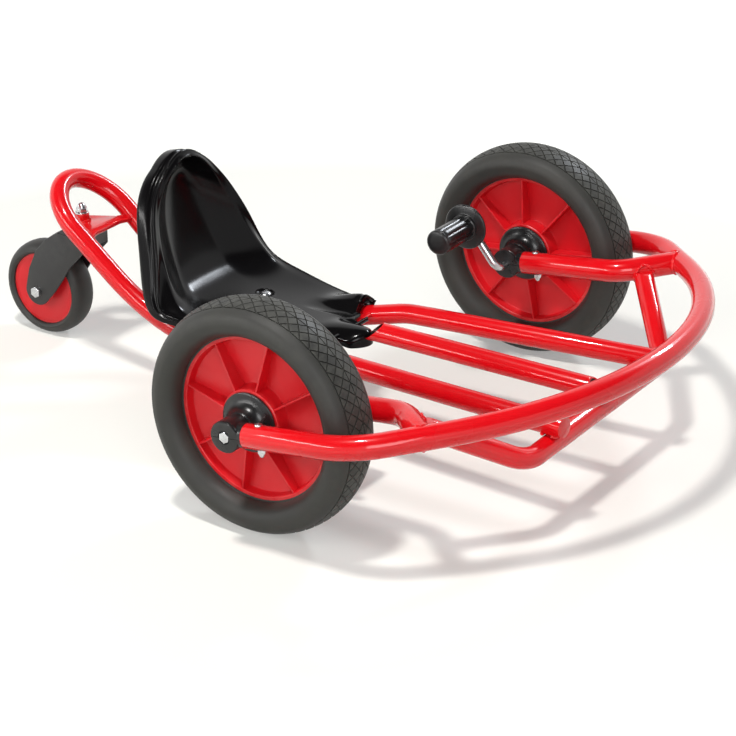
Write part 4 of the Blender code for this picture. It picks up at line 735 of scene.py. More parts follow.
casterPlan = {
    "swivelBack": 0.4957, "trail": 0.0593, "radius": 0.0634, "halfWidth": 0.0190, "coreRadius": 0.0480,
    "coreHalf": 0.0140, "legInside": 0.0235, "legThickness": 0.0035, "cupRadius": 0.0202, "cupBottom": 0.1320,
    "cupTop": 0.1560, "race": 0.0046, "headRadius": 0.0097, "headHeight": 0.0155, "bracketThickness": 0.0050,
    "bracketFront": 0.4400, "bracketHalf": 0.0520, "stem": 0.0040, "beadRadius": 0.0016, "bracketSide": 0.018,
    "bracketWaist": (0.034, 0.468), "bracketNotch": (0.024, 0.012), "bracketRear": 0.017, "nutFlats": 0.0130,
    # the yoke's front and rear outline as (back of the wheel's axle, height), below the cup
    "yokeRear": ((-0.0180, 0.1400), (-0.0010, 0.1215), (0.0120, 0.0940)), "yokeFoot": 0.0190,
    "yokeFront": ((-0.0302, 0.0694), (-0.0449, 0.0900), (-0.0560, 0.1075), (-0.0670, 0.1195)),
    "yokeTop": (0.0195, 0.0215), "yokeSpan": (0.40, 0.70), "shoulder": 0.0520, "crownCurve": 2.4, "cupGap": 0.0005,
    "washer": (0.0090, 0.0014), "stemNut": (0.0060, 0.0062),
    "axleHeads": {"bolt": (-1.0, 0.0050), "nut": (1.0, 0.0065)},
    # the disc's face as (distance past the ring's side, radius), from the bore to the ring
    "discRows": ((0.0055, 0.0078), (0.0055, 0.0125), (0.0050, 0.0132), (-0.0010, 0.0150), (-0.0020, 0.0165),
                 (-0.0016, 0.0200), (0.0, 0.0400), (0.0004, 0.0440), (0.0, 0.0452)),
    "crownShares": (0.0, 0.2, 0.4, 0.55, 0.68, 0.79, 0.88, 0.95, 0.99),
}
swivelBack, cupTop, cupRadius = casterPlan["swivelBack"], casterPlan["cupTop"], casterPlan["cupRadius"]
raceTop = cupTop + casterPlan["cupGap"] + casterPlan["race"]
headTop = raceTop + gap + casterPlan["headHeight"]


def swivelForm(rows, steps=40, closed=True):
    return turnedForm(rows, steps, (0.0, swivelBack, 0.0), (0, 0, 1), closed)


def buildBracket():
    p = casterPlan
    low = raceTop + 0.0020
    front, wide, radius = p["bracketFront"], p["bracketHalf"], p["headRadius"]
    notch, notchBack = p["bracketNotch"]
    half = [(wide, front), (wide, front + p["bracketSide"]), p["bracketWaist"]]
    rear = [(x, swivelBack + y) for x, y in arcPoints((0, 0), p["bracketRear"], math.radians(20), math.radians(160),
                                                     math.radians(8))]
    outline = half + rear + otherHalf(half) + [(-notch, front + notchBack), (notch, front + notchBack)]
    bracket = plateForm(outline, p["bracketThickness"], (0, 0, low))
    cutWith(bracket, turnedForm([(0, 0), (0, radius - 0.0002), (0.05, radius - 0.0002), (0.05, 0)], 32,
                                (0, swivelBack, low - 0.02)))
    roundEdges(bracket, 0.0010, 2, 50.0)
    copeOut(bracket)
    keepOnFrame(bracket, "bracket_plate", "caster_bracket")
    bore, bottom = p["stem"] + gap, raceTop + gap
    head = swivelForm([(bottom, bore), (bottom, radius - 0.0006), (bottom + 0.0006, radius),
                       (headTop - 0.0006, radius), (headTop, radius - 0.0006), (headTop, bore)])
    keepOnFrame(head, "head_tube", "caster_head_tube")
    for label, height in (("lower", low - 0.0002), ("upper", low + p["bracketThickness"])):
        turns = [math.tau * i / 48 for i in range(48)]
        ring = [Vector((radius * math.cos(a), swivelBack + radius * math.sin(a), height)) for a in turns]
        keepOnFrame(bentTube(ring, p["beadRadius"], 8, beadPlan["ripple"]), f"head_weld_{label}",
                    limit=beadPlan["smoothing"])


buildStraps()
buildBracket()
print("straps and bracket made")


# Big wheels

tyrePlan = {
    "halfWidth": 0.0350, "shoulderRadius": 0.1197, "treadHalf": 0.0225, "columns": 56, "rows": 3,
    "grooveHalf": 0.0008, "grooveDepth": 0.0012, "bead": 0.0990, "lip": 0.0966, "sectionSteps": 240,
    "shoulderSteps": (0.0009, 0.0022, 0.0050, 0.0090, 0.0130),
    "sidewall": ((0.0350, 0.1192), (0.0350, 0.1085), (0.0290, 0.1010), (0.0160, 0.0985)),
    "beadRows": [(0.0150, 0.0986), (0.0139, 0.0989), (0.0134, 0.0987)], "beadFoot": 0.0968,
}
rimPlan = {
    "halfWidth": 0.0127, "ringWall": 0.0038, "webHalf": 0.0022, "ribs": 8, "ribRoot": 0.0020, "ribTop": 0.0012,
    "bossRadius": 0.0375, "bossHalf": 0.0207, "axle": 0.0054, "ribSink": 0.0030, "ribReach": 0.0020,
    "ribBelowBoss": 0.0006, "ribBelowRing": 0.0005,
    "phase": {"right": math.radians(-33.5), "left": math.radians(-7.0)},
}
axleBore = rimPlan["axle"] + gap


# Tyre section from the middle of the tread outwards, as (length along it, half-width place, radius, tilt)
def crownTable():
    p = tyrePlan
    rise = axleHeight - p["shoulderRadius"]
    table = []
    length = 0.0
    for i in range(p["sectionSteps"] + 1):
        turn = 0.5 * math.pi * i / p["sectionSteps"]
        x = p["halfWidth"] * math.sin(turn)
        r = p["shoulderRadius"] + rise * math.cos(turn)
        if table:
            length += math.hypot(x - table[-1][1], r - table[-1][2])
        table.append((length, x, r, math.atan2(math.sin(turn) / p["halfWidth"], math.cos(turn) / rise)))
    return table


crown = crownTable()


# Point of the tyre section at a length from its middle, lifted off the surface
def onCrown(across, lift):
    _, x, r, tilt = min(crown, key=lambda row: abs(row[0] - abs(across)))
    return math.copysign(x + lift * math.sin(tilt), across), r + lift * math.cos(tilt)


# From the tread's edge over the shoulder and down to the bead, as (place across, radius)
def sidewallRows():
    p = tyrePlan
    rows = [onCrown(p["treadHalf"] + step, 0.0) for step in p["shoulderSteps"]]
    for i in range(11):
        t = i / 10.0
        blend = ((1 - t) ** 3, 3 * t * (1 - t) ** 2, 3 * t * t * (1 - t), t ** 3)
        rows.append(tuple(sum(w * q[k] for w, q in zip(blend, p["sidewall"])) for k in (0, 1)))
    foot = rimPlan["halfWidth"] + gap
    return rows + p["beadRows"] + [(foot, p["beadFoot"]), (foot, p["bead"])]


def pickBorder():
    bpy.ops.mesh.select_all(action="DESELECT")
    bpy.ops.mesh.select_non_manifold(extend=False, use_wire=False, use_boundary=True, use_multi_face=False,
                                     use_non_contiguous=False, use_verts=False)


# Flat lattice of diamonds, wrapped round the wheel, with the sidewalls drawn down from its two borders
def buildTyre():
    p = tyrePlan
    length = math.tau * axleHeight
    dropSelection()
    bpy.ops.mesh.primitive_grid_add(x_subdivisions=p["columns"], y_subdivisions=p["rows"], size=1.0)
    tyre = bpy.context.object
    tyre.scale = (length, 2.0 * p["treadHalf"], 1.0)
    bpy.ops.object.transform_apply(location=False, rotation=False, scale=True)
    mesh = tyre.data
    inner = set()
    for edge in mesh.edges:
        ends = [mesh.vertices[i].co for i in edge.vertices]
        if not (all(abs(abs(c.y) - p["treadHalf"]) < 1e-6 for c in ends)
                or all(abs(abs(c.x) - 0.5 * length) < 1e-6 for c in ends)):
            inner.add(edge.key)
    openEdit(tyre, "FACE")
    bpy.ops.mesh.poke()
    pickMesh("EDGE", "DESELECT")
    setMode("OBJECT")
    for edge in mesh.edges:
        edge.select = edge.key in inner
    setMode("EDIT")
    bpy.ops.mesh.dissolve_edges(use_verts=False)
    bpy.ops.mesh.select_all(action="SELECT")
    bpy.ops.mesh.bisect(plane_co=(0, 0, 0), plane_no=(0, 1, 0))
    pickMesh("FACE")
    for depth in (0.0, p["grooveDepth"]):
        bpy.ops.mesh.inset(thickness=0.5 * p["grooveHalf"], depth=depth, use_individual=True)
    bpy.ops.mesh.select_all(action="SELECT")
    bpy.ops.mesh.subdivide(number_cuts=1)
    setMode("OBJECT")
    for vertex in mesh.vertices:
        x, r = onCrown(vertex.co.y, vertex.co.z - p["grooveDepth"])
        turn = vertex.co.x / axleHeight
        vertex.co = (x, r * math.sin(turn), r * math.cos(turn))
    openEdit(tyre, "EDGE")
    bpy.ops.mesh.remove_doubles(threshold=0.00001)
    for sign in (1.0, -1.0):
        pickBorder()
        setMode("OBJECT")
        for edge in mesh.edges:
            edge.select = edge.select and all(mesh.vertices[i].co.x * sign > 0 for i in edge.vertices)
        picked = {i for edge in mesh.edges if edge.select for i in edge.vertices}
        for vertex in mesh.vertices:
            vertex.select = vertex.index in picked
        setMode("EDIT")
        bpy.ops.mesh.select_mode(type="EDGE")
        for x, r in sidewallRows():
            bpy.ops.mesh.extrude_region_move(TRANSFORM_OT_translate={"value": (0, 0, 0)})
            setMode("OBJECT")
            for vertex in mesh.vertices:
                if vertex.select:
                    turn = math.atan2(vertex.co.y, vertex.co.z)
                    vertex.co = (sign * x, r * math.sin(turn), r * math.cos(turn))
            setMode("EDIT")
    pickBorder()
    bpy.ops.mesh.bridge_edge_loops()
    closeEdit(0.000005)
    return tyre


def buildRimForm():
    p = rimPlan
    boss, bossRadius, web, wide = p["bossHalf"], p["bossRadius"], p["webHalf"], p["halfWidth"]
    outer = tyrePlan["bead"] - gap
    ring = tyrePlan["lip"] - p["ringWall"]
    half = [(boss, axleBore), (boss, bossRadius - 0.0010), (boss - 0.0010, bossRadius),
            (web + 0.0020, bossRadius + 0.0012), (web + 0.0006, bossRadius + 0.0020), (web, bossRadius + 0.0036),
            (web, ring - 0.0040), (web + 0.0006, ring - 0.0024), (web + 0.0020, ring - 0.0016),
            (wide - 0.0006, ring), (wide, ring + 0.0006), (wide, outer - 0.0004), (wide - 0.0004, outer)]
    rim = turnedAcross(half + otherHalf(half), 96)
    ribs = []
    for face in (1.0, -1.0):
        for i in range(p["ribs"]):
            rib = boxForm((0.0, -p["ribRoot"], bossRadius - p["ribSink"]),
                          (face * (boss - p["ribBelowBoss"]), p["ribRoot"], ring + p["ribReach"]))
            for vertex in rib.data.vertices:
                if abs(vertex.co.x) > web:
                    vertex.co.y *= p["ribTop"] / p["ribRoot"]
                    if vertex.co.z > ring:
                        vertex.co.x = face * (wide - p["ribBelowRing"])
            cleanMesh(rib)
            roundEdges(rib, 0.0005, 2, 60.0)
            settle(rib, Matrix.Rotation(math.tau * i / p["ribs"], 4, "X"))
            ribs.append(rib)
    mergeWith(rim, joinForms(*ribs))
    cleanMesh(rim, 0.00001)
    return rim


bellPlan = {
    "thickness": 0.0030, "blockHalf": 0.0140, "blockClear": 0.0005,
    # radius at each distance from the flange's two faces and from the block's end
    "flange": ((0.0, 0.0345), (0.0005, 0.0350)),
    "flare": ((-0.0006, 0.0350), (0.0, 0.0343), (0.0006, 0.0322), (0.0016, 0.0292), (0.0030, 0.0262),
              (0.0050, 0.0236), (0.0075, 0.0215), (0.0105, 0.0200), (0.0140, 0.0190)),
    "neck": ((-0.0008, 0.0184), (0.0, 0.0178)),
}


# Cover that flares from the bearing block to the wheel's boss
def buildBellForm():
    p = bellPlan
    start = rimPlan["bossHalf"] + gap
    end = halfSpan - p["blockHalf"] - p["blockClear"]
    parts = ((start, p["flange"]), (start + p["thickness"], p["flare"]), (end, p["neck"]))
    rows = [(origin + x, r) for origin, part in parts for x, r in part]
    return turnedAcross([(start, axleBore), *rows, (end, axleBore)], 64)


crankPlan = {
    "plane": 0.0880, "throw": 0.0661, "bend": 0.0110, "nutFlats": 0.0120, "nutHeight": 0.0062, "tipOver": 0.0004,
    "pinShort": 0.0030, "guardClear": 0.0011,
    "angle": {"right": math.radians(-111.3), "left": math.radians(50.2)},
}
gripPlan = {
    "guardRadius": 0.0290, "guardThickness": 0.0040, "radius": 0.0160, "length": 0.0660, "flutes": 9,
    "fluteDepth": 0.0013, "fluteCurve": 2.2, "cap": 0.0050, "pocket": 0.0105, "lengthSteps": 10, "collar": 0.0014,
    "edge": 0.0012, "mouth": 0.0120, "boreEase": (0.0004, 0.0022), "boreEnds": (0.0080, 0.0055), "capPlug": 0.0022,
    # the end cap's dome: distance past the grip's end, and how far inside the grip's radius
    "dome": ((0.0, 0.0005), (0.0005, 0.0), (0.0018, 0.0001), (0.0030, 0.0010), (0.0041, 0.0030), (0.0048, 0.0065)),
    "domeFlat": 0.0110,
}
gripOuter = wheelOffset - crankPlan["plane"] - rimPlan["axle"] - crankPlan["guardClear"]
gripInner = gripOuter - gripPlan["length"]


# Where a grip's axis crosses the car's centre plane
def handlePoint(sideName):
    angle = crankPlan["angle"][sideName]
    return Vector((0.0, crankPlan["throw"] * math.cos(angle), axleHeight + crankPlan["throw"] * math.sin(angle)))


hexPlan = {
    "chamfer": 0.0005, "footShare": 0.97, "topShare": 0.94, "domeShare": 0.45, "domeSink": 0.0008,
    "domeTurns": [math.radians(a) for a in (0, 12, 25, 38, 52, 66, 80)],
}


# Hexagon with chamfered corners, under a dome if it has one
def hexForm(start, along, flats, height, domeHeight=0.0):
    p = hexPlan
    corner = 0.5 * flats / math.cos(math.pi / 6)
    ball, foot = p["domeShare"] * flats, height - p["domeSink"]
    rows = [(0.0, 0.0), (0.0, corner * p["footShare"]), (p["chamfer"], corner), (height - p["chamfer"], corner),
            (height, corner * p["topShare"])]
    if domeHeight:
        rows.append((height, ball))
    nut = turnedForm(rows + [(height, 0.0)], 6, start, along)
    if domeHeight:
        arc = [(height + domeHeight * math.sin(a), ball * math.cos(a)) for a in p["domeTurns"]]
        mergeWith(nut, turnedForm([(foot, 0.0), (foot, ball), *arc, (height + domeHeight, 0.0)], 24, start, along))
    roundEdges(nut, 0.0002, 2, 30.0)
    return nut


def buildCrank(sideName):
    side = sides[sideName]
    armX = side * (wheelOffset - crankPlan["plane"])
    end = hoopHalf + bellPlan["blockHalf"] - crankPlan["nutHeight"] + crankPlan["tipOver"]
    handle = handlePoint(sideName)
    corners = [(side * end, 0.0, axleHeight), (armX, 0.0, axleHeight), (armX, handle.y, handle.z),
               (side * (gripInner + crankPlan["pinShort"]), handle.y, handle.z)]
    crank = bentTube(roundedRoute(corners, [crankPlan["bend"]] * 2, math.radians(6)), rimPlan["axle"], 28)
    roundEdges(crank, 0.0004, 2, 60.0)
    keepPiece(crank, f"{sideName}_crank", f"{sideName}_wheel", "zinc_steel", 32.0, f"{sideName}_crank_axle")
    nutAt = (side * (end + gap), 0.0, axleHeight)
    nut = hexForm(nutAt, (side, 0, 0), crankPlan["nutFlats"], crankPlan["nutHeight"])
    keepPiece(nut, f"{sideName}_end_nut", f"{sideName}_wheel", "zinc_steel", 30.0, f"{sideName}_axle_nut")


# A form modelled for the left grip, put on its side's pin
def keepGripForm(form, sideName, name, node):
    settle(form, Matrix.Translation(handlePoint(sideName)) @ Matrix.Diagonal((sides[sideName], 1, 1, 1)))
    cleanMesh(form, 0.000005)
    keepPiece(form, f"{sideName}_{name}", f"{sideName}_handle", "black_plastic", 50.0, f"{sideName}_{node}")


def buildGrip(sideName):
    p = gripPlan
    radius, wide, pocket, steps, edge = p["radius"], p["guardRadius"], p["pocket"], p["lengthSteps"], p["edge"]
    guard, collar = gripOuter - p["guardThickness"], radius + p["collar"]
    ease, wider = p["boreEase"]
    near, far = gripInner + p["boreEnds"][0], gripOuter - p["boreEnds"][1]
    rows = [(gripOuter - ease, axleBore + wider), (gripOuter, p["mouth"]), (gripOuter, wide - edge),
            (gripOuter - edge, wide), (guard + edge, wide), (guard, wide - edge), (guard, collar + edge),
            (guard - 0.0006, collar), (guard - 0.0040, collar), (guard - 0.0046, collar - 0.0005),
            (guard - 0.0050, radius)]
    high, low = guard - 0.0060, gripInner + 0.0006
    rows += [(high + (low - high) * i / steps, radius) for i in range(steps + 1)]
    rows += [(gripInner, radius - 0.0006), (gripInner, pocket), (near, pocket), (near, axleBore), (far, axleBore)]
    grip = turnedAcross(rows, 8 * p["flutes"])
    for vertex in grip.data.vertices:
        across = math.hypot(vertex.co.y, vertex.co.z)
        if abs(across - radius) < 0.0001 and vertex.co.x < guard - 0.0055:
            wave = abs(math.cos(0.5 * p["flutes"] * math.atan2(vertex.co.z, vertex.co.y)))
            factor = 1.0 - (p["fluteDepth"] / radius) * (1.0 - wave) ** p["fluteCurve"]
            vertex.co.y *= factor
            vertex.co.z *= factor
    keepGripForm(grip, sideName, "handgrip", "grip")
    start, plug = gripInner - gap, pocket - gap
    end = start - p["cap"]
    rows = [(start + p["capPlug"], 0.0), (start + p["capPlug"], plug), (start, plug)]
    rows += [(start - past, radius - inside) for past, inside in p["dome"]]
    rows += [(end, radius - p["domeFlat"]), (end, 0.0)]
    keepGripForm(turnedAcross(rows, 48, closed=False), sideName, "end_cap", "grip_cap")


tyreForm, rimForm, bellForm = buildTyre(), buildRimForm(), buildBellForm()
for sideName, side in sides.items():
    middle = Matrix.Translation((side * wheelOffset, 0.0, axleHeight))
    wheelBody = f"{sideName}_wheel"
    spun = middle @ Matrix.Rotation(rimPlan["phase"][sideName], 4, "X")
    keepPiece(copyOf(tyreForm, spun), f"{sideName}_big_tyre", wheelBody, "tyre", 28.0, f"{sideName}_tyre")
    keepPiece(copyOf(rimForm, spun), f"{sideName}_big_rim", wheelBody, "wheel_plastic", 30.0, f"{sideName}_rim")
    for place, away in (("outer", side), ("inner", -side)):
        facing = unmoved if away > 0 else Matrix.Rotation(math.pi, 4, "Z")
        keepPiece(copyOf(bellForm, middle @ facing), f"{sideName}_{place}_bell_cover", wheelBody, "black_plastic",
                  40.0, f"{sideName}_{place}_bell")
    buildCrank(sideName)
    buildGrip(sideName)
dropForms(tyreForm, rimForm, bellForm)
print("wheels, cranks and grips made")


# Bearing blocks, each split along the fork's own plane and held by one screw

blockPlan = {
    "radius": 0.0185, "half": 0.0140, "neck": 0.0141, "screwReach": 0.0385, "headRadius": 0.0045,
    "headHeight": 0.0027, "nutFlats": 0.0080, "nutHeight": 0.0095, "splitGap": 0.0005, "grooveAt": 0.0030,
    "socket": 0.0072, "neckStart": 0.0060, "screwSink": 0.0020, "shankShare": 0.6, "hexShare": 0.45,
    # shares of the screw head's height and radius, from its rim to the foot of its socket
    "headRows": ((0.0, 1.0), (0.22, 1.0), (0.45, 0.95), (0.66, 0.82), (0.85, 0.6), (0.96, 0.34), (0.96, 0.20),
                 (0.5, 0.18), (0.5, 0.0)),
}


# One whole block round the origin, its outer face towards +X
def buildBlockForm(outer):
    p = blockPlan
    h, r, groove, foot = p["half"], p["radius"], p["half"] - p["grooveAt"], p["half"] - crankPlan["nutHeight"]
    rows = [(-h, 0.0), (-h, r - 0.0014), (-h + 0.0005, r - 0.0004), (-h + 0.0014, r), (groove - 0.0010, r),
            (groove - 0.0004, r - 0.0006), (groove, r - 0.0006), (groove + 0.0004, r), (h - 0.0016, r),
            (h - 0.0005, r - 0.0006), (h, r - 0.0020)]
    socket = p["socket"]
    rows += [(h, socket + 0.0004), (h - 0.0008, socket), (foot, socket), (foot, 0.0)] if outer else [(h, 0.0)]
    body = turnedAcross(rows, 64, closed=False)
    start, end, neck = p["neckStart"], forkPlan["tubeStart"] - gap, p["neck"]
    rows = [(start, 0.0), (start, neck), (end - 0.0003, neck), (end, neck - 0.0004), (end, 0.0)]
    mergeWith(body, turnedForm(rows, 40, (0, 0, 0), forkForward))
    return body


def buildBlockHalf(form, sign):
    half = copyOf(form, unmoved)
    openEdit(half)
    bpy.ops.mesh.bisect(plane_co=forkUpward * (0.5 * sign * blockPlan["splitGap"]), plane_no=forkUpward * -sign,
                        clear_outer=True, use_fill=True)
    closeEdit(0.00001)
    roundEdges(half, 0.0003, 1, 70.0)
    return half


screwSeat = tubeRadius + 0.0001
screwStart = screwSeat - blockPlan["screwSink"]
for place, offset in (("outer", halfSpan), ("inner", -halfSpan)):
    whole = buildBlockForm(place == "outer")
    halves = {"upper": buildBlockHalf(whole, 1.0), "lower": buildBlockHalf(whole, -1.0)}
    for sideName, side in sides.items():
        p, name = blockPlan, f"{sideName}_{place}"
        middle = Vector((side * (wheelOffset + offset), 0.0, axleHeight))
        facing = unmoved if (side > 0) == (place == "outer") else mirrored
        for halfName, half in halves.items():
            keepPiece(copyOf(half, Matrix.Translation(middle) @ facing), f"{name}_{halfName}_half", "frame",
                      "black_plastic", 34.0, f"{name}_block_{halfName}")
        spot = middle + forkForward * p["screwReach"]
        tall, head = p["headHeight"], p["headRadius"]
        rows = [(screwStart, 0.0), (screwStart, head * p["shankShare"])]
        rows += [(screwSeat + up * tall, out * head) for up, out in p["headRows"]]
        screw = turnedForm(rows, 24, (0, 0, 0), forkUpward)
        settle(screw, Matrix.Translation(spot))
        keepPiece(screw, f"{name}_screw_head", "frame", "zinc_steel", 40.0, f"{name}_block_screw")
        tall = p["hexShare"] * p["nutHeight"]
        nut = hexForm(spot - forkUpward * screwSeat, -forkUpward, p["nutFlats"], tall, p["nutHeight"] - tall)
        keepPiece(nut, f"{name}_dome_nut", "frame", "zinc_steel", 30.0, f"{name}_block_nut")
    dropForms(whole, *halves.values())
print("bearing blocks made")


# Seat shell

seatRows = [
    # centre back, centre height, half width, edge forward, edge up, skirt back, skirt down, bowl depth, lip forward
    (0.0670, 0.0985, 0.0940, 0, 0, 0, 0.003, 0, 0),
    (0.0671, 0.1085, 0.0940, 0, 0, 0, 0.004, 0, 0),
    (0.0690, 0.1162, 0.0940, 0, 0, 0, 0.006, 0, 0),
    (0.0830, 0.1176, 0.0940, 0, -0.0005, 0, 0.008, 0, 0),
    (0.1105, 0.1152, 0.0940, 0, -0.0055, 0, 0.010, 0, 0),
    (0.1350, 0.1140, 0.0975, 0, -0.0050, 0, 0.012, 0, 0),
    (0.1650, 0.1135, 0.1010, 0, -0.0021, 0, 0.013, 0, 0),
    (0.1980, 0.1140, 0.1040, 0, 0.0027, 0, 0.013, 0, 0.002),
    (0.2290, 0.1155, 0.1080, 0, 0.0070, 0.001, 0.012, 0, 0.006),
    (0.2560, 0.1190, 0.1140, 0.0020, 0.0052, 0.003, 0.010, 0, 0.011),
    (0.2820, 0.1270, 0.1190, 0.0090, 0.0005, 0.010, 0.011, 0, 0.016),
    (0.3010, 0.1400, 0.1175, 0.0165, -0.0045, 0.018, 0.012, 0.0010, 0.018),
    (0.3120, 0.1630, 0.1070, 0.0205, -0.0035, 0.026, 0.010, 0.0030, 0.010),
    (0.3190, 0.1890, 0.0970, 0.0200, 0, 0.028, 0.002, 0.0060, 0.003),
    (0.3240, 0.2140, 0.0875, 0.0150, 0, 0.028, 0.001, 0.0090, 0.001),
    (0.3285, 0.2380, 0.0765, 0.0110, -0.0010, 0.028, 0.002, 0.0110, 0.001),
    (0.3312, 0.2590, 0.0635, 0.0082, -0.0045, 0.028, 0.003, 0.0120, 0.003),
    (0.3310, 0.2775, 0.0500, 0.0052, -0.0080, 0.0275, 0.0045, 0.0120, 0.005),
    (0.3285, 0.2925, 0.0340, 0.0016, -0.0120, 0.0265, 0.006, 0.0100, 0.006),
]
seatShape = {
    "curve": 2.6, "noseFront": 0.0515, "noseHalf": 0.0222, "noseRound": 30.0, "noseLift": 0.0015,
    "noseDrop": 0.0100, "noseBlend": 0.0090, "noseTail": (0.0850, 0.1250), "panFront": 0.0960,
    "hoodStep": (0.0460, 0.0530), "lipSlope": 0.03, "hoodFront": 0.1105, "hoodOffset": 0.0725,
    "hoodHalf": 0.0225, "hoodRise": 0.0138,
    "hoodBase": 0.1125, "hoodTail": 0.1720, "hoodRound": 0.28, "valleyOffset": 0.0430, "valleyHalf": 0.0180,
    "valleyDepth": 0.0060, "valleyFront": (0.0980, 0.1120), "valleyTail": (0.1300, 0.1750),
    "bowlStart": 9.6, "bowlFull": 13.0, "bowlTop": 18.0, "bowlLip": 0.84, "bowlCurve": 2.4, "lipCrest": 0.84,
    "lipStart": 0.35, "rowsBetween": 6, "columns": 112, "wall": 0.0030, "rimInset": 0.0024,
    "insetRows": (4.0, 9.0), "curveEase": 0.6, "curveRows": (14.0, 18.0), "topCurve": 4.0, "fullRun": 0.020,
    "hoodRow": 3.95, "hoodSteps": 24, "hoodReach": 0.0285, "hoodDrop": 0.0130, "hoodWall": 0.0028,
    "hoodTuck": 0.0026, "hoodSink": 0.0012, "hoodShy": 0.0010, "railClear": 0.0022,
    "panMiddle": Vector((0.0, 0.2, 0.115)),
    "rib": (0.045, 0.0842, 0.0878, 0.1118), "boss": (0.0034, 0.0090),
    "recess": ((0.0, 0.0), (0.0, 0.0100), (0.0003, 0.0106), (0.0010, 0.0113), (0.0016, 0.0122), (0.0060, 0.0140),
               (0.0060, 0.0)),
}
# The rolled rim: share of the skirt's run, and how far it swells out, in metres
seatRim = [(0.008, 0.0007), (0.025, 0.0014), (0.050, 0.0019), (0.080, 0.0020), (0.110, 0.0015), (0.140, 0.0006),
           (0.180, -0.0004), (0.230, -0.0010), (0.290, -0.0010), (0.340, -0.0004), (0.375, 0.0005), (0.400, 0.0014),
           (0.425, 0.0021), (0.455, 0.0024), (0.600, 0.0024), (0.800, 0.0024), (0.930, 0.0022), (0.985, 0.0016),
           (1.000, 0.0008)]


def smoothStep(value, low, high):
    share = min(1.0, max(0.0, (value - low) / (high - low)))
    return share * share * (3.0 - 2.0 * share)


# One row of the shell at a place between the listed rows, on a smooth curve through them
def seatRow(place):
    last = len(seatRows) - 1
    index = min(max(int(place), 0), last - 1)
    t = place - index
    rows = [seatRows[max(0, index - 1)], seatRows[index], seatRows[index + 1], seatRows[min(last, index + 2)]]
    if index == 0:
        rows[0] = tuple(2 * b - c for b, c in zip(rows[1], rows[2]))
    if index == last - 1:
        rows[3] = tuple(2 * c - b for b, c in zip(rows[1], rows[2]))
    return tuple((a + 4 * b + c + 3 * (c - a) * t + 3 * (a - 2 * b + c) * t * t
                  + (3 * b - a - 3 * c + d) * t ** 3) / 6 for a, b, c, d in zip(*rows))


# How far a point is from the middle of the backrest: 1 along the border, at the sides and over the top
def seatReach(share, place):
    s = seatShape
    rise = max(0.0, (place - s["bowlFull"]) / (s["bowlTop"] - s["bowlFull"]))
    return min(1.0, math.sqrt(share * share + rise ** s["topCurve"] * (1.0 - share * share)))


# The bowl behind the border, less the lip that stands before it
def seatBowl(reach, place, depth, lip):
    s = seatShape
    bowl = 1.0 - min(1.0, reach / s["bowlLip"]) ** s["bowlCurve"]
    bowl *= smoothStep(place, s["bowlStart"], s["bowlFull"])
    crest = smoothStep(reach, s["lipStart"], s["lipCrest"]) * (1.0 - smoothStep(reach, s["lipCrest"], 1.0))
    return depth * bowl - lip * crest


def besideNose(x):
    return smoothStep(abs(x), seatShape["noseHalf"], seatShape["noseHalf"] + seatShape["noseBlend"])


# Front of the seat in plan: a nose over the middle rail, the pan's edge beside it and the hoods outside
def noseBack(x, back):
    s = seatShape
    edge = s["panFront"] + (s["hoodFront"] - s["hoodTuck"] - s["panFront"]) * smoothStep(abs(x), *s["hoodStep"])
    nose = s["noseFront"] + s["noseRound"] * abs(x) * abs(x)
    front = nose + (edge - nose) * besideNose(x)
    return front + (back - seatRows[0][0]) / (s["hoodFront"] - seatRows[0][0]) * (s["hoodFront"] - front)


def seatPoint(place, column):
    s = seatShape
    back, height, halfWidth, forward, up, _, _, depth, lip = seatRow(place)
    share = abs(column)
    x = (halfWidth - s["rimInset"] * smoothStep(place, *s["insetRows"])) * column
    power = s["curve"] - s["curveEase"] * smoothStep(place, *s["curveRows"])
    y = back - forward * share ** power + seatBowl(seatReach(share, place), place, depth, lip)
    z = height + up * share ** power
    beside = besideNose(x)
    if back < s["hoodFront"]:
        y = noseBack(x, back)
        z += (s["hoodBase"] + s["lipSlope"] * (back - seatRows[0][0]) - height) * beside
    full = min(1.0, max(0.0, (z - seatRows[0][1]) / (seatRows[3][1] - seatRows[0][1])))
    drop = s["noseDrop"] * min(1.0, abs(x) / s["noseHalf"]) ** 2.0 * (1.0 - beside)
    z += (s["noseLift"] * (1.0 - beside) - drop) * full * (1.0 - smoothStep(y, *s["noseTail"]))
    away = abs(abs(x) - s["hoodOffset"]) / s["hoodHalf"]
    tip = s["hoodRound"]
    hood = max(0.0, 1.0 - (math.hypot(away, tip) - tip) / (math.hypot(1.0, tip) - tip))
    z += s["hoodRise"] * hood * (1.0 - smoothStep(y, s["hoodFront"], s["hoodTail"]))
    valley = max(0.0, 1.0 - ((abs(x) - s["valleyOffset"]) / s["valleyHalf"]) ** 2)
    window = smoothStep(y, *s["valleyFront"]) * (1.0 - smoothStep(y, *s["valleyTail"]))
    return Vector((x, y, z - s["valleyDepth"] * valley * window))


# The border runs up the right side, over the top and down the left side
def seatBorder(rows, columns):
    keys = [(0, j) for j in range(rows + 1)] + [(i, rows) for i in range(1, columns)]
    keys += [(columns, j) for j in reversed(range(rows + 1))]
    points = [seatPoint(j / seatShape["rowsBetween"], 2.0 * i / columns - 1.0) for i, j in keys]
    border = {}
    for n, key in enumerate(keys):
        row = seatRow(key[1] / seatShape["rowsBetween"])
        run = Vector((0.0, row[5], -row[6]))
        along = points[min(n + 1, len(points) - 1)] - points[max(n - 1, 0)]
        out = along.cross(run).normalized() * min(1.0, run.length / seatShape["fullRun"])
        border[key] = (points[n], run, out)
    return border


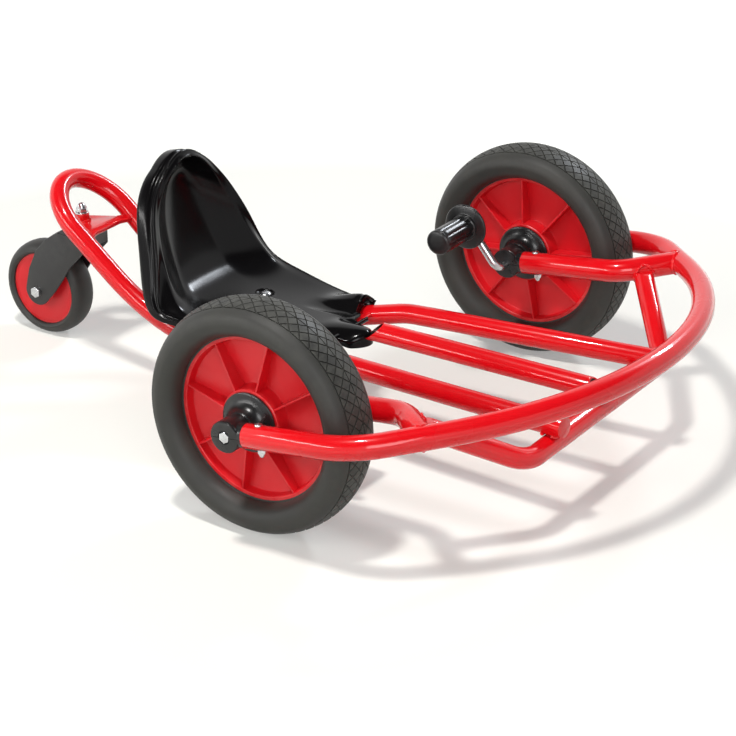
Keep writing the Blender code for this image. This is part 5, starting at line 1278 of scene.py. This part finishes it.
# Thin face that closes a hood's front round the rail
def hoodFrontForm(side):
    s = seatShape
    width = seatRow(s["hoodRow"])[2]
    inner, outer, foot = s["hoodOffset"] - s["hoodReach"], width - s["hoodShy"], s["hoodBase"] - s["hoodDrop"]
    places = [inner + (outer - inner) * i / s["hoodSteps"] for i in range(s["hoodSteps"] + 1)]
    top = [(x, seatPoint(s["hoodRow"], x / width).z - s["hoodSink"]) for x in places]
    at = (0.0, s["hoodFront"] - s["hoodSink"], 0.0)
    face = plateForm([(inner, foot), *top, (outer, foot)], s["hoodWall"], at, upright)
    cleanMesh(face)
    cutWith(face, bentTube(mainLoopRoute(), railRadius + s["railClear"], 32))
    roundEdges(face, 0.0005, 2, 50.0)
    if side > 0:
        return face
    twin = copyOf(face, mirrored)
    dropForms(face)
    return twin


# Grid pulled onto the shell, with the outer rows and columns as the rim
def seatGrid():
    s = seatShape
    rows = (len(seatRows) - 1) * s["rowsBetween"]
    columns, steps = s["columns"], len(seatRim)
    across, up = columns + 2 * steps, rows + steps
    border = seatBorder(rows, columns)
    dropSelection()
    bpy.ops.mesh.primitive_grid_add(x_subdivisions=across, y_subdivisions=up, size=2.0)
    seat = bpy.context.object
    for vertex in seat.data.vertices:
        i = round((vertex.co.x + 1.0) * 0.5 * across)
        j = round((vertex.co.y + 1.0) * 0.5 * up)
        key = (min(max(i - steps, 0), columns), min(j, rows))
        step = max(steps - i, i - steps - columns, j - rows, 0)
        if step:
            base, run, out = border[key]
            share, swell = seatRim[step - 1]
            vertex.co = base + run * share + out * swell
        else:
            vertex.co = seatPoint(key[1] / s["rowsBetween"], 2.0 * key[0] / columns - 1.0)
    cleanMesh(seat, 0.00002)
    middle = min(seat.data.polygons, key=lambda f: (f.center - s["panMiddle"]).length)
    if middle.normal.z < 0:
        openEdit(seat)
        bpy.ops.mesh.flip_normals()
        setMode("OBJECT")
    return seat


# The shell gets its wall, the bolts' recesses and bosses, the hoods' fronts and the rib that rests on the rails
def buildSeat():
    seat = seatGrid()
    applyModifier(seat, "SOLIDIFY", thickness=seatShape["wall"], offset=-1.0, use_even_offset=False)
    for side in sides.values():
        spot = (side * strapPlan["boltOffset"], strapPlan["boltBack"], 0.0)
        cutWith(seat, turnedForm([(seatAt + up, r) for up, r in seatShape["recess"]], 40, spot))
        bore, boss, top = *seatShape["boss"], seatAt - 0.0012
        rows = [(bossBottom, bore), (bossBottom, boss - 0.0006), (bossBottom + 0.0006, boss), (top, boss),
                (top, bore)]
        seat = joinForms(seat, turnedForm(rows, 32, spot, closed=True))
    for side in sides.values():
        seat = joinForms(seat, hoodFrontForm(side))
    ribHalf, ribFront, ribRear, ribTop = seatShape["rib"]
    rib = boxForm((-ribHalf, ribFront, railHeight - railRadius + gap), (ribHalf, ribRear, ribTop))
    roundEdges(rib, 0.0006, 2)
    keepPiece(joinForms(seat, rib), "bucket_seat", "frame", "seat_plastic", 42.0, "seat_shell")


# Height over the recess and radius, from the shank over the round head to the foot of its socket
boltRows = ((-0.004, 0.0), (-0.004, 0.0035), (0.0, 0.0072), (0.0008, 0.0075), (0.0018, 0.0069), (0.0027, 0.0054),
            (0.0032, 0.0036), (0.0033, 0.0024), (0.0014, 0.0021), (0.0014, 0.0))


def buildSeatBolts():
    for sideName, side in sides.items():
        spot = (side * strapPlan["boltOffset"], strapPlan["boltBack"], 0.0)
        bolt = turnedForm([(seatAt + up, r) for up, r in boltRows], 32, spot)
        keepPiece(bolt, f"{sideName}_seat_screw", "frame", "zinc_steel", 40.0, f"{sideName}_seat_bolt")


buildSeat()
buildSeatBolts()
print("seat made")


# Caster

def buildSwivel():
    stemBore, low, top = casterPlan["stem"] + gap, cupTop + casterPlan["cupGap"], headTop + gap
    rows = [(low, stemBore), (low, cupRadius - 0.0010), (cupTop + 0.0010, cupRadius - 0.0002),
            (cupTop + 0.0018, cupRadius), (raceTop - 0.0018, cupRadius - 0.0003),
            (raceTop - 0.0006, cupRadius - 0.0016), (raceTop, cupRadius - 0.0040), (raceTop, stemBore)]
    keepPiece(swivelForm(rows, 48), "swivel_race", "frame", "black_plastic", 40.0, "caster_top_race")
    wide, thick = casterPlan["washer"]
    washer = swivelForm([(top, stemBore), (top, wide - 0.0002), (top + 0.0003, wide), (top + thick - 0.0002, wide),
                         (top + thick, wide - 0.0002), (top + thick, stemBore)])
    keepPiece(washer, "stem_washer", "frame", "zinc_steel", 40.0, "caster_stem_washer")
    nutAt = (0.0, swivelBack, headTop + 2 * gap + thick)
    nut = hexForm(nutAt, (0, 0, 1), casterPlan["nutFlats"], *casterPlan["stemNut"])
    keepPiece(nut, "stem_dome_nut", "frame", "zinc_steel", 30.0, "caster_stem_nut")


def buildCaster():
    p = casterPlan
    axleY, axleZ = swivelBack + p["trail"], p["radius"]
    axle = (0, axleY, axleZ)
    wide, bottom = p["legInside"] + p["legThickness"], p["cupBottom"]
    front, rear = swivelBack - p["yokeTop"][0], swivelBack + p["yokeTop"][1]
    foot = arcPoints((0, 0), p["yokeFoot"], math.radians(15), math.radians(-135), math.radians(10))
    outline = [(front, cupTop - 0.006), (rear, cupTop - 0.002)] + [(axleY + y, z) for y, z in p["yokeRear"]]
    outline += [(axleY + y, axleZ + z) for y, z in foot] + [(axleY + y, z) for y, z in p["yokeFront"]]
    outline.append((front, bottom))
    fork = plateForm(outline, 2.0 * wide, (-wide, 0, 0), sideways)
    near, far = p["yokeSpan"]
    cutWith(fork, boxForm((-p["legInside"], near, 0.0), (p["legInside"], far, bottom + 0.002)))
    roundEdges(fork, 0.0013, 3, 40.0)
    cup = [(bottom, 0.0), (bottom, cupRadius - 0.0018), (bottom + 0.004, cupRadius), (cupTop - 0.0012, cupRadius),
           (cupTop, cupRadius - 0.0012), (cupTop, 0.0)]
    mergeWith(fork, swivelForm(cup, 56, closed=False))
    keepPiece(fork, "caster_yoke", "caster", "fork_plastic", 35.0, "caster_fork")
    for label, (side, height) in p["axleHeads"].items():
        head = hexForm((side * (wide + gap), axleY, axleZ), (side, 0, 0), p["nutFlats"], height)
        keepPiece(head, f"caster_axle_head_{label}", "caster", "zinc_steel", 30.0, f"caster_axle_{label}")

    core, coreRadius = p["coreHalf"], p["coreRadius"]
    half = [(core + x, r) for x, r in p["discRows"]] + [(core, coreRadius)]
    disc = turnedAcross(half + otherHalf(half), 72, axle)
    keepPiece(disc, "caster_disc", "caster_wheel", "wheel_plastic", 30.0, "caster_core")
    shoulder, edge = p["shoulder"], p["halfWidth"]
    half = [(share * edge, shoulder + (p["radius"] - shoulder) * math.sqrt(1.0 - share ** p["crownCurve"]))
            for share in p["crownShares"]]
    half += [(edge, shoulder), (edge - 0.0010, 0.0502), (core + 0.0022, coreRadius + 0.0006),
             (core + 0.0006, coreRadius + gap)]
    ring = turnedAcross(half + otherHalf(half[1:]), 96, axle)
    keepPiece(ring, "caster_ring_tyre", "caster_wheel", "caster_rubber", 30.0, "caster_tyre")


buildSwivel()
buildCaster()
print("caster made")


# What is left of the frame's own nodes gets a finish too

for slotName, names in (("zinc_steel", ("caster_stem", "right_seat_nut", "left_seat_nut", "right_grip_retainer",
                                        "left_grip_retainer")), ("fork_plastic", ("caster_bush",))):
    for name in names:
        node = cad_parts[name]
        node.data.materials.clear()
        node.data.materials.append(finish[slotName])


# Floor, light and camera

roomPlan = {
    "floorSize": 30.0, "floorColour": (0.655, 0.655, 0.605, 1.0), "cameraLift": 0.28, "liftFrom": 0.85,
    "liftTo": 1.50, "worldStrength": 0.44, "ceiling": (0.07, 0.072, 0.078, 1.0),
    "ceilingFrom": 0.44, "ceilingTo": 0.56, "sweepSide": (0.84, 0.54, 0.0), "sweepRise": 0.34,
    "lampTarget": (0.0, 0.0, 0.1),
}
lamps = {
    "key_lamp": {"place": (-0.85, 0.10, 2.9), "size": (0.30, 0.30), "power": 60.0, "colour": (1.0, 0.98, 0.965)},
    "fill_lamp": {"place": (-2.6, -2.2, 1.6), "size": (1.4, 1.4), "power": 40.0, "colour": (0.98, 0.985, 1.0)},
    "side_lamp": {"place": (2.38, -0.30, 1.94), "size": (0.7, 0.26), "power": 34.0, "colour": (0.88, 0.93, 1.0)},
    "strip_lamp": {"place": (-2.45, 1.45, 1.42), "size": (2.8, 0.20), "power": 40.0, "colour": (1.0, 0.99, 0.98)},
}
cameraPlan = {
    "place": (-2.3551, -1.6202, 1.3416), "looksAt": (0.0, -0.0747, 0.0672), "lens": 124.28, "sensor": 36.0,
    "farthest": 60.0,
}


# 1 for what the camera, a mirror or clear glass sees, 0 for light that falls on things
def seenDirectly(tree):
    path = addNode(tree, "LightPath").outputs
    seen = mathNode(tree, "MAXIMUM", path["Is Camera Ray"], path["Is Glossy Ray"])
    return mathNode(tree, "MAXIMUM", seen, path["Is Transmission Ray"])


def buildFloor():
    dropSelection()
    bpy.ops.mesh.primitive_plane_add(size=roomPlan["floorSize"], location=(0, 0, 0))
    floor = bpy.context.object
    floor.name = "studio_floor"
    material = bpy.data.materials.new("studioFloor")
    material.use_nodes = True
    tree = material.node_tree
    tree.nodes.clear()
    away = vectorNode(tree, "LENGTH", addNode(tree, "TexCoord").outputs["Object"], output="Value")
    far = spread(tree, away, roomPlan["liftFrom"], roomPlan["liftTo"], roomPlan["cameraLift"], 1.0)
    seen = mathNode(tree, "MULTIPLY", seenDirectly(tree), far)
    lift = addNode(tree, "Emission", {"Color": (1, 1, 1, 1), "Strength": seen})
    diffuse = addNode(tree, "BsdfDiffuse", {"Color": roomPlan["floorColour"]})
    both = addNode(tree, "AddShader", {0: diffuse.outputs[0], 1: lift.outputs[0]})
    addNode(tree, "OutputMaterial", {"Surface": both.outputs[0]}).is_active_output = True
    floor.data.materials.append(material)


# White backdrop up to a height, higher on the sweep's side, with a dim ceiling above it
def buildWorld():
    world = bpy.data.worlds.new("studio")
    bpy.context.scene.world = world
    world.use_nodes = True
    tree = world.node_tree
    background = tree.nodes["Background"].inputs
    direction = addNode(tree, "TexCoord").outputs["Generated"]
    height = addNode(tree, "SeparateXYZ", {"Vector": direction}).outputs["Z"]
    behind = vectorNode(tree, "DOT_PRODUCT", direction, roomPlan["sweepSide"], "Value")
    sweep = mathNode(tree, "MULTIPLY", mathNode(tree, "MAXIMUM", behind, 0.0), roomPlan["sweepRise"])
    raised = spread(tree, mathNode(tree, "SUBTRACT", height, sweep), roomPlan["ceilingFrom"], roomPlan["ceilingTo"])
    tree.links.new(mixColour(tree, raised, (1.0, 1.0, 1.0, 1.0), roomPlan["ceiling"]), background["Color"])
    strength = spread(tree, seenDirectly(tree), 0.0, 1.0, roomPlan["worldStrength"], 1.0)
    tree.links.new(strength, background["Strength"])


def aimAt(thing, target):
    thing.rotation_euler = (Vector(target) - thing.location).to_track_quat("-Z", "Y").to_euler()


def buildLamp(name, plan):
    dropSelection()
    bpy.ops.object.light_add(type="AREA", location=plan["place"])
    lamp = bpy.context.object
    lamp.name = name
    lamp.data.shape = "RECTANGLE"
    lamp.data.size, lamp.data.size_y = plan["size"]
    lamp.data.energy = plan["power"]
    lamp.data.color = plan["colour"]
    aimAt(lamp, roomPlan["lampTarget"])


def buildCamera():
    dropSelection()
    bpy.ops.object.camera_add(location=cameraPlan["place"])
    camera = bpy.context.object
    camera.name = "photo_camera"
    camera.data.lens = cameraPlan["lens"]
    camera.data.sensor_width = cameraPlan["sensor"]
    camera.data.clip_end = cameraPlan["farthest"]
    aimAt(camera, cameraPlan["looksAt"])
    bpy.context.scene.camera = camera


buildFloor()
buildWorld()
for name, plan in lamps.items():
    buildLamp(name, plan)
buildCamera()
bpy.context.scene.view_settings.view_transform = "Standard"
print("floor, light and camera set")

dropSelection()
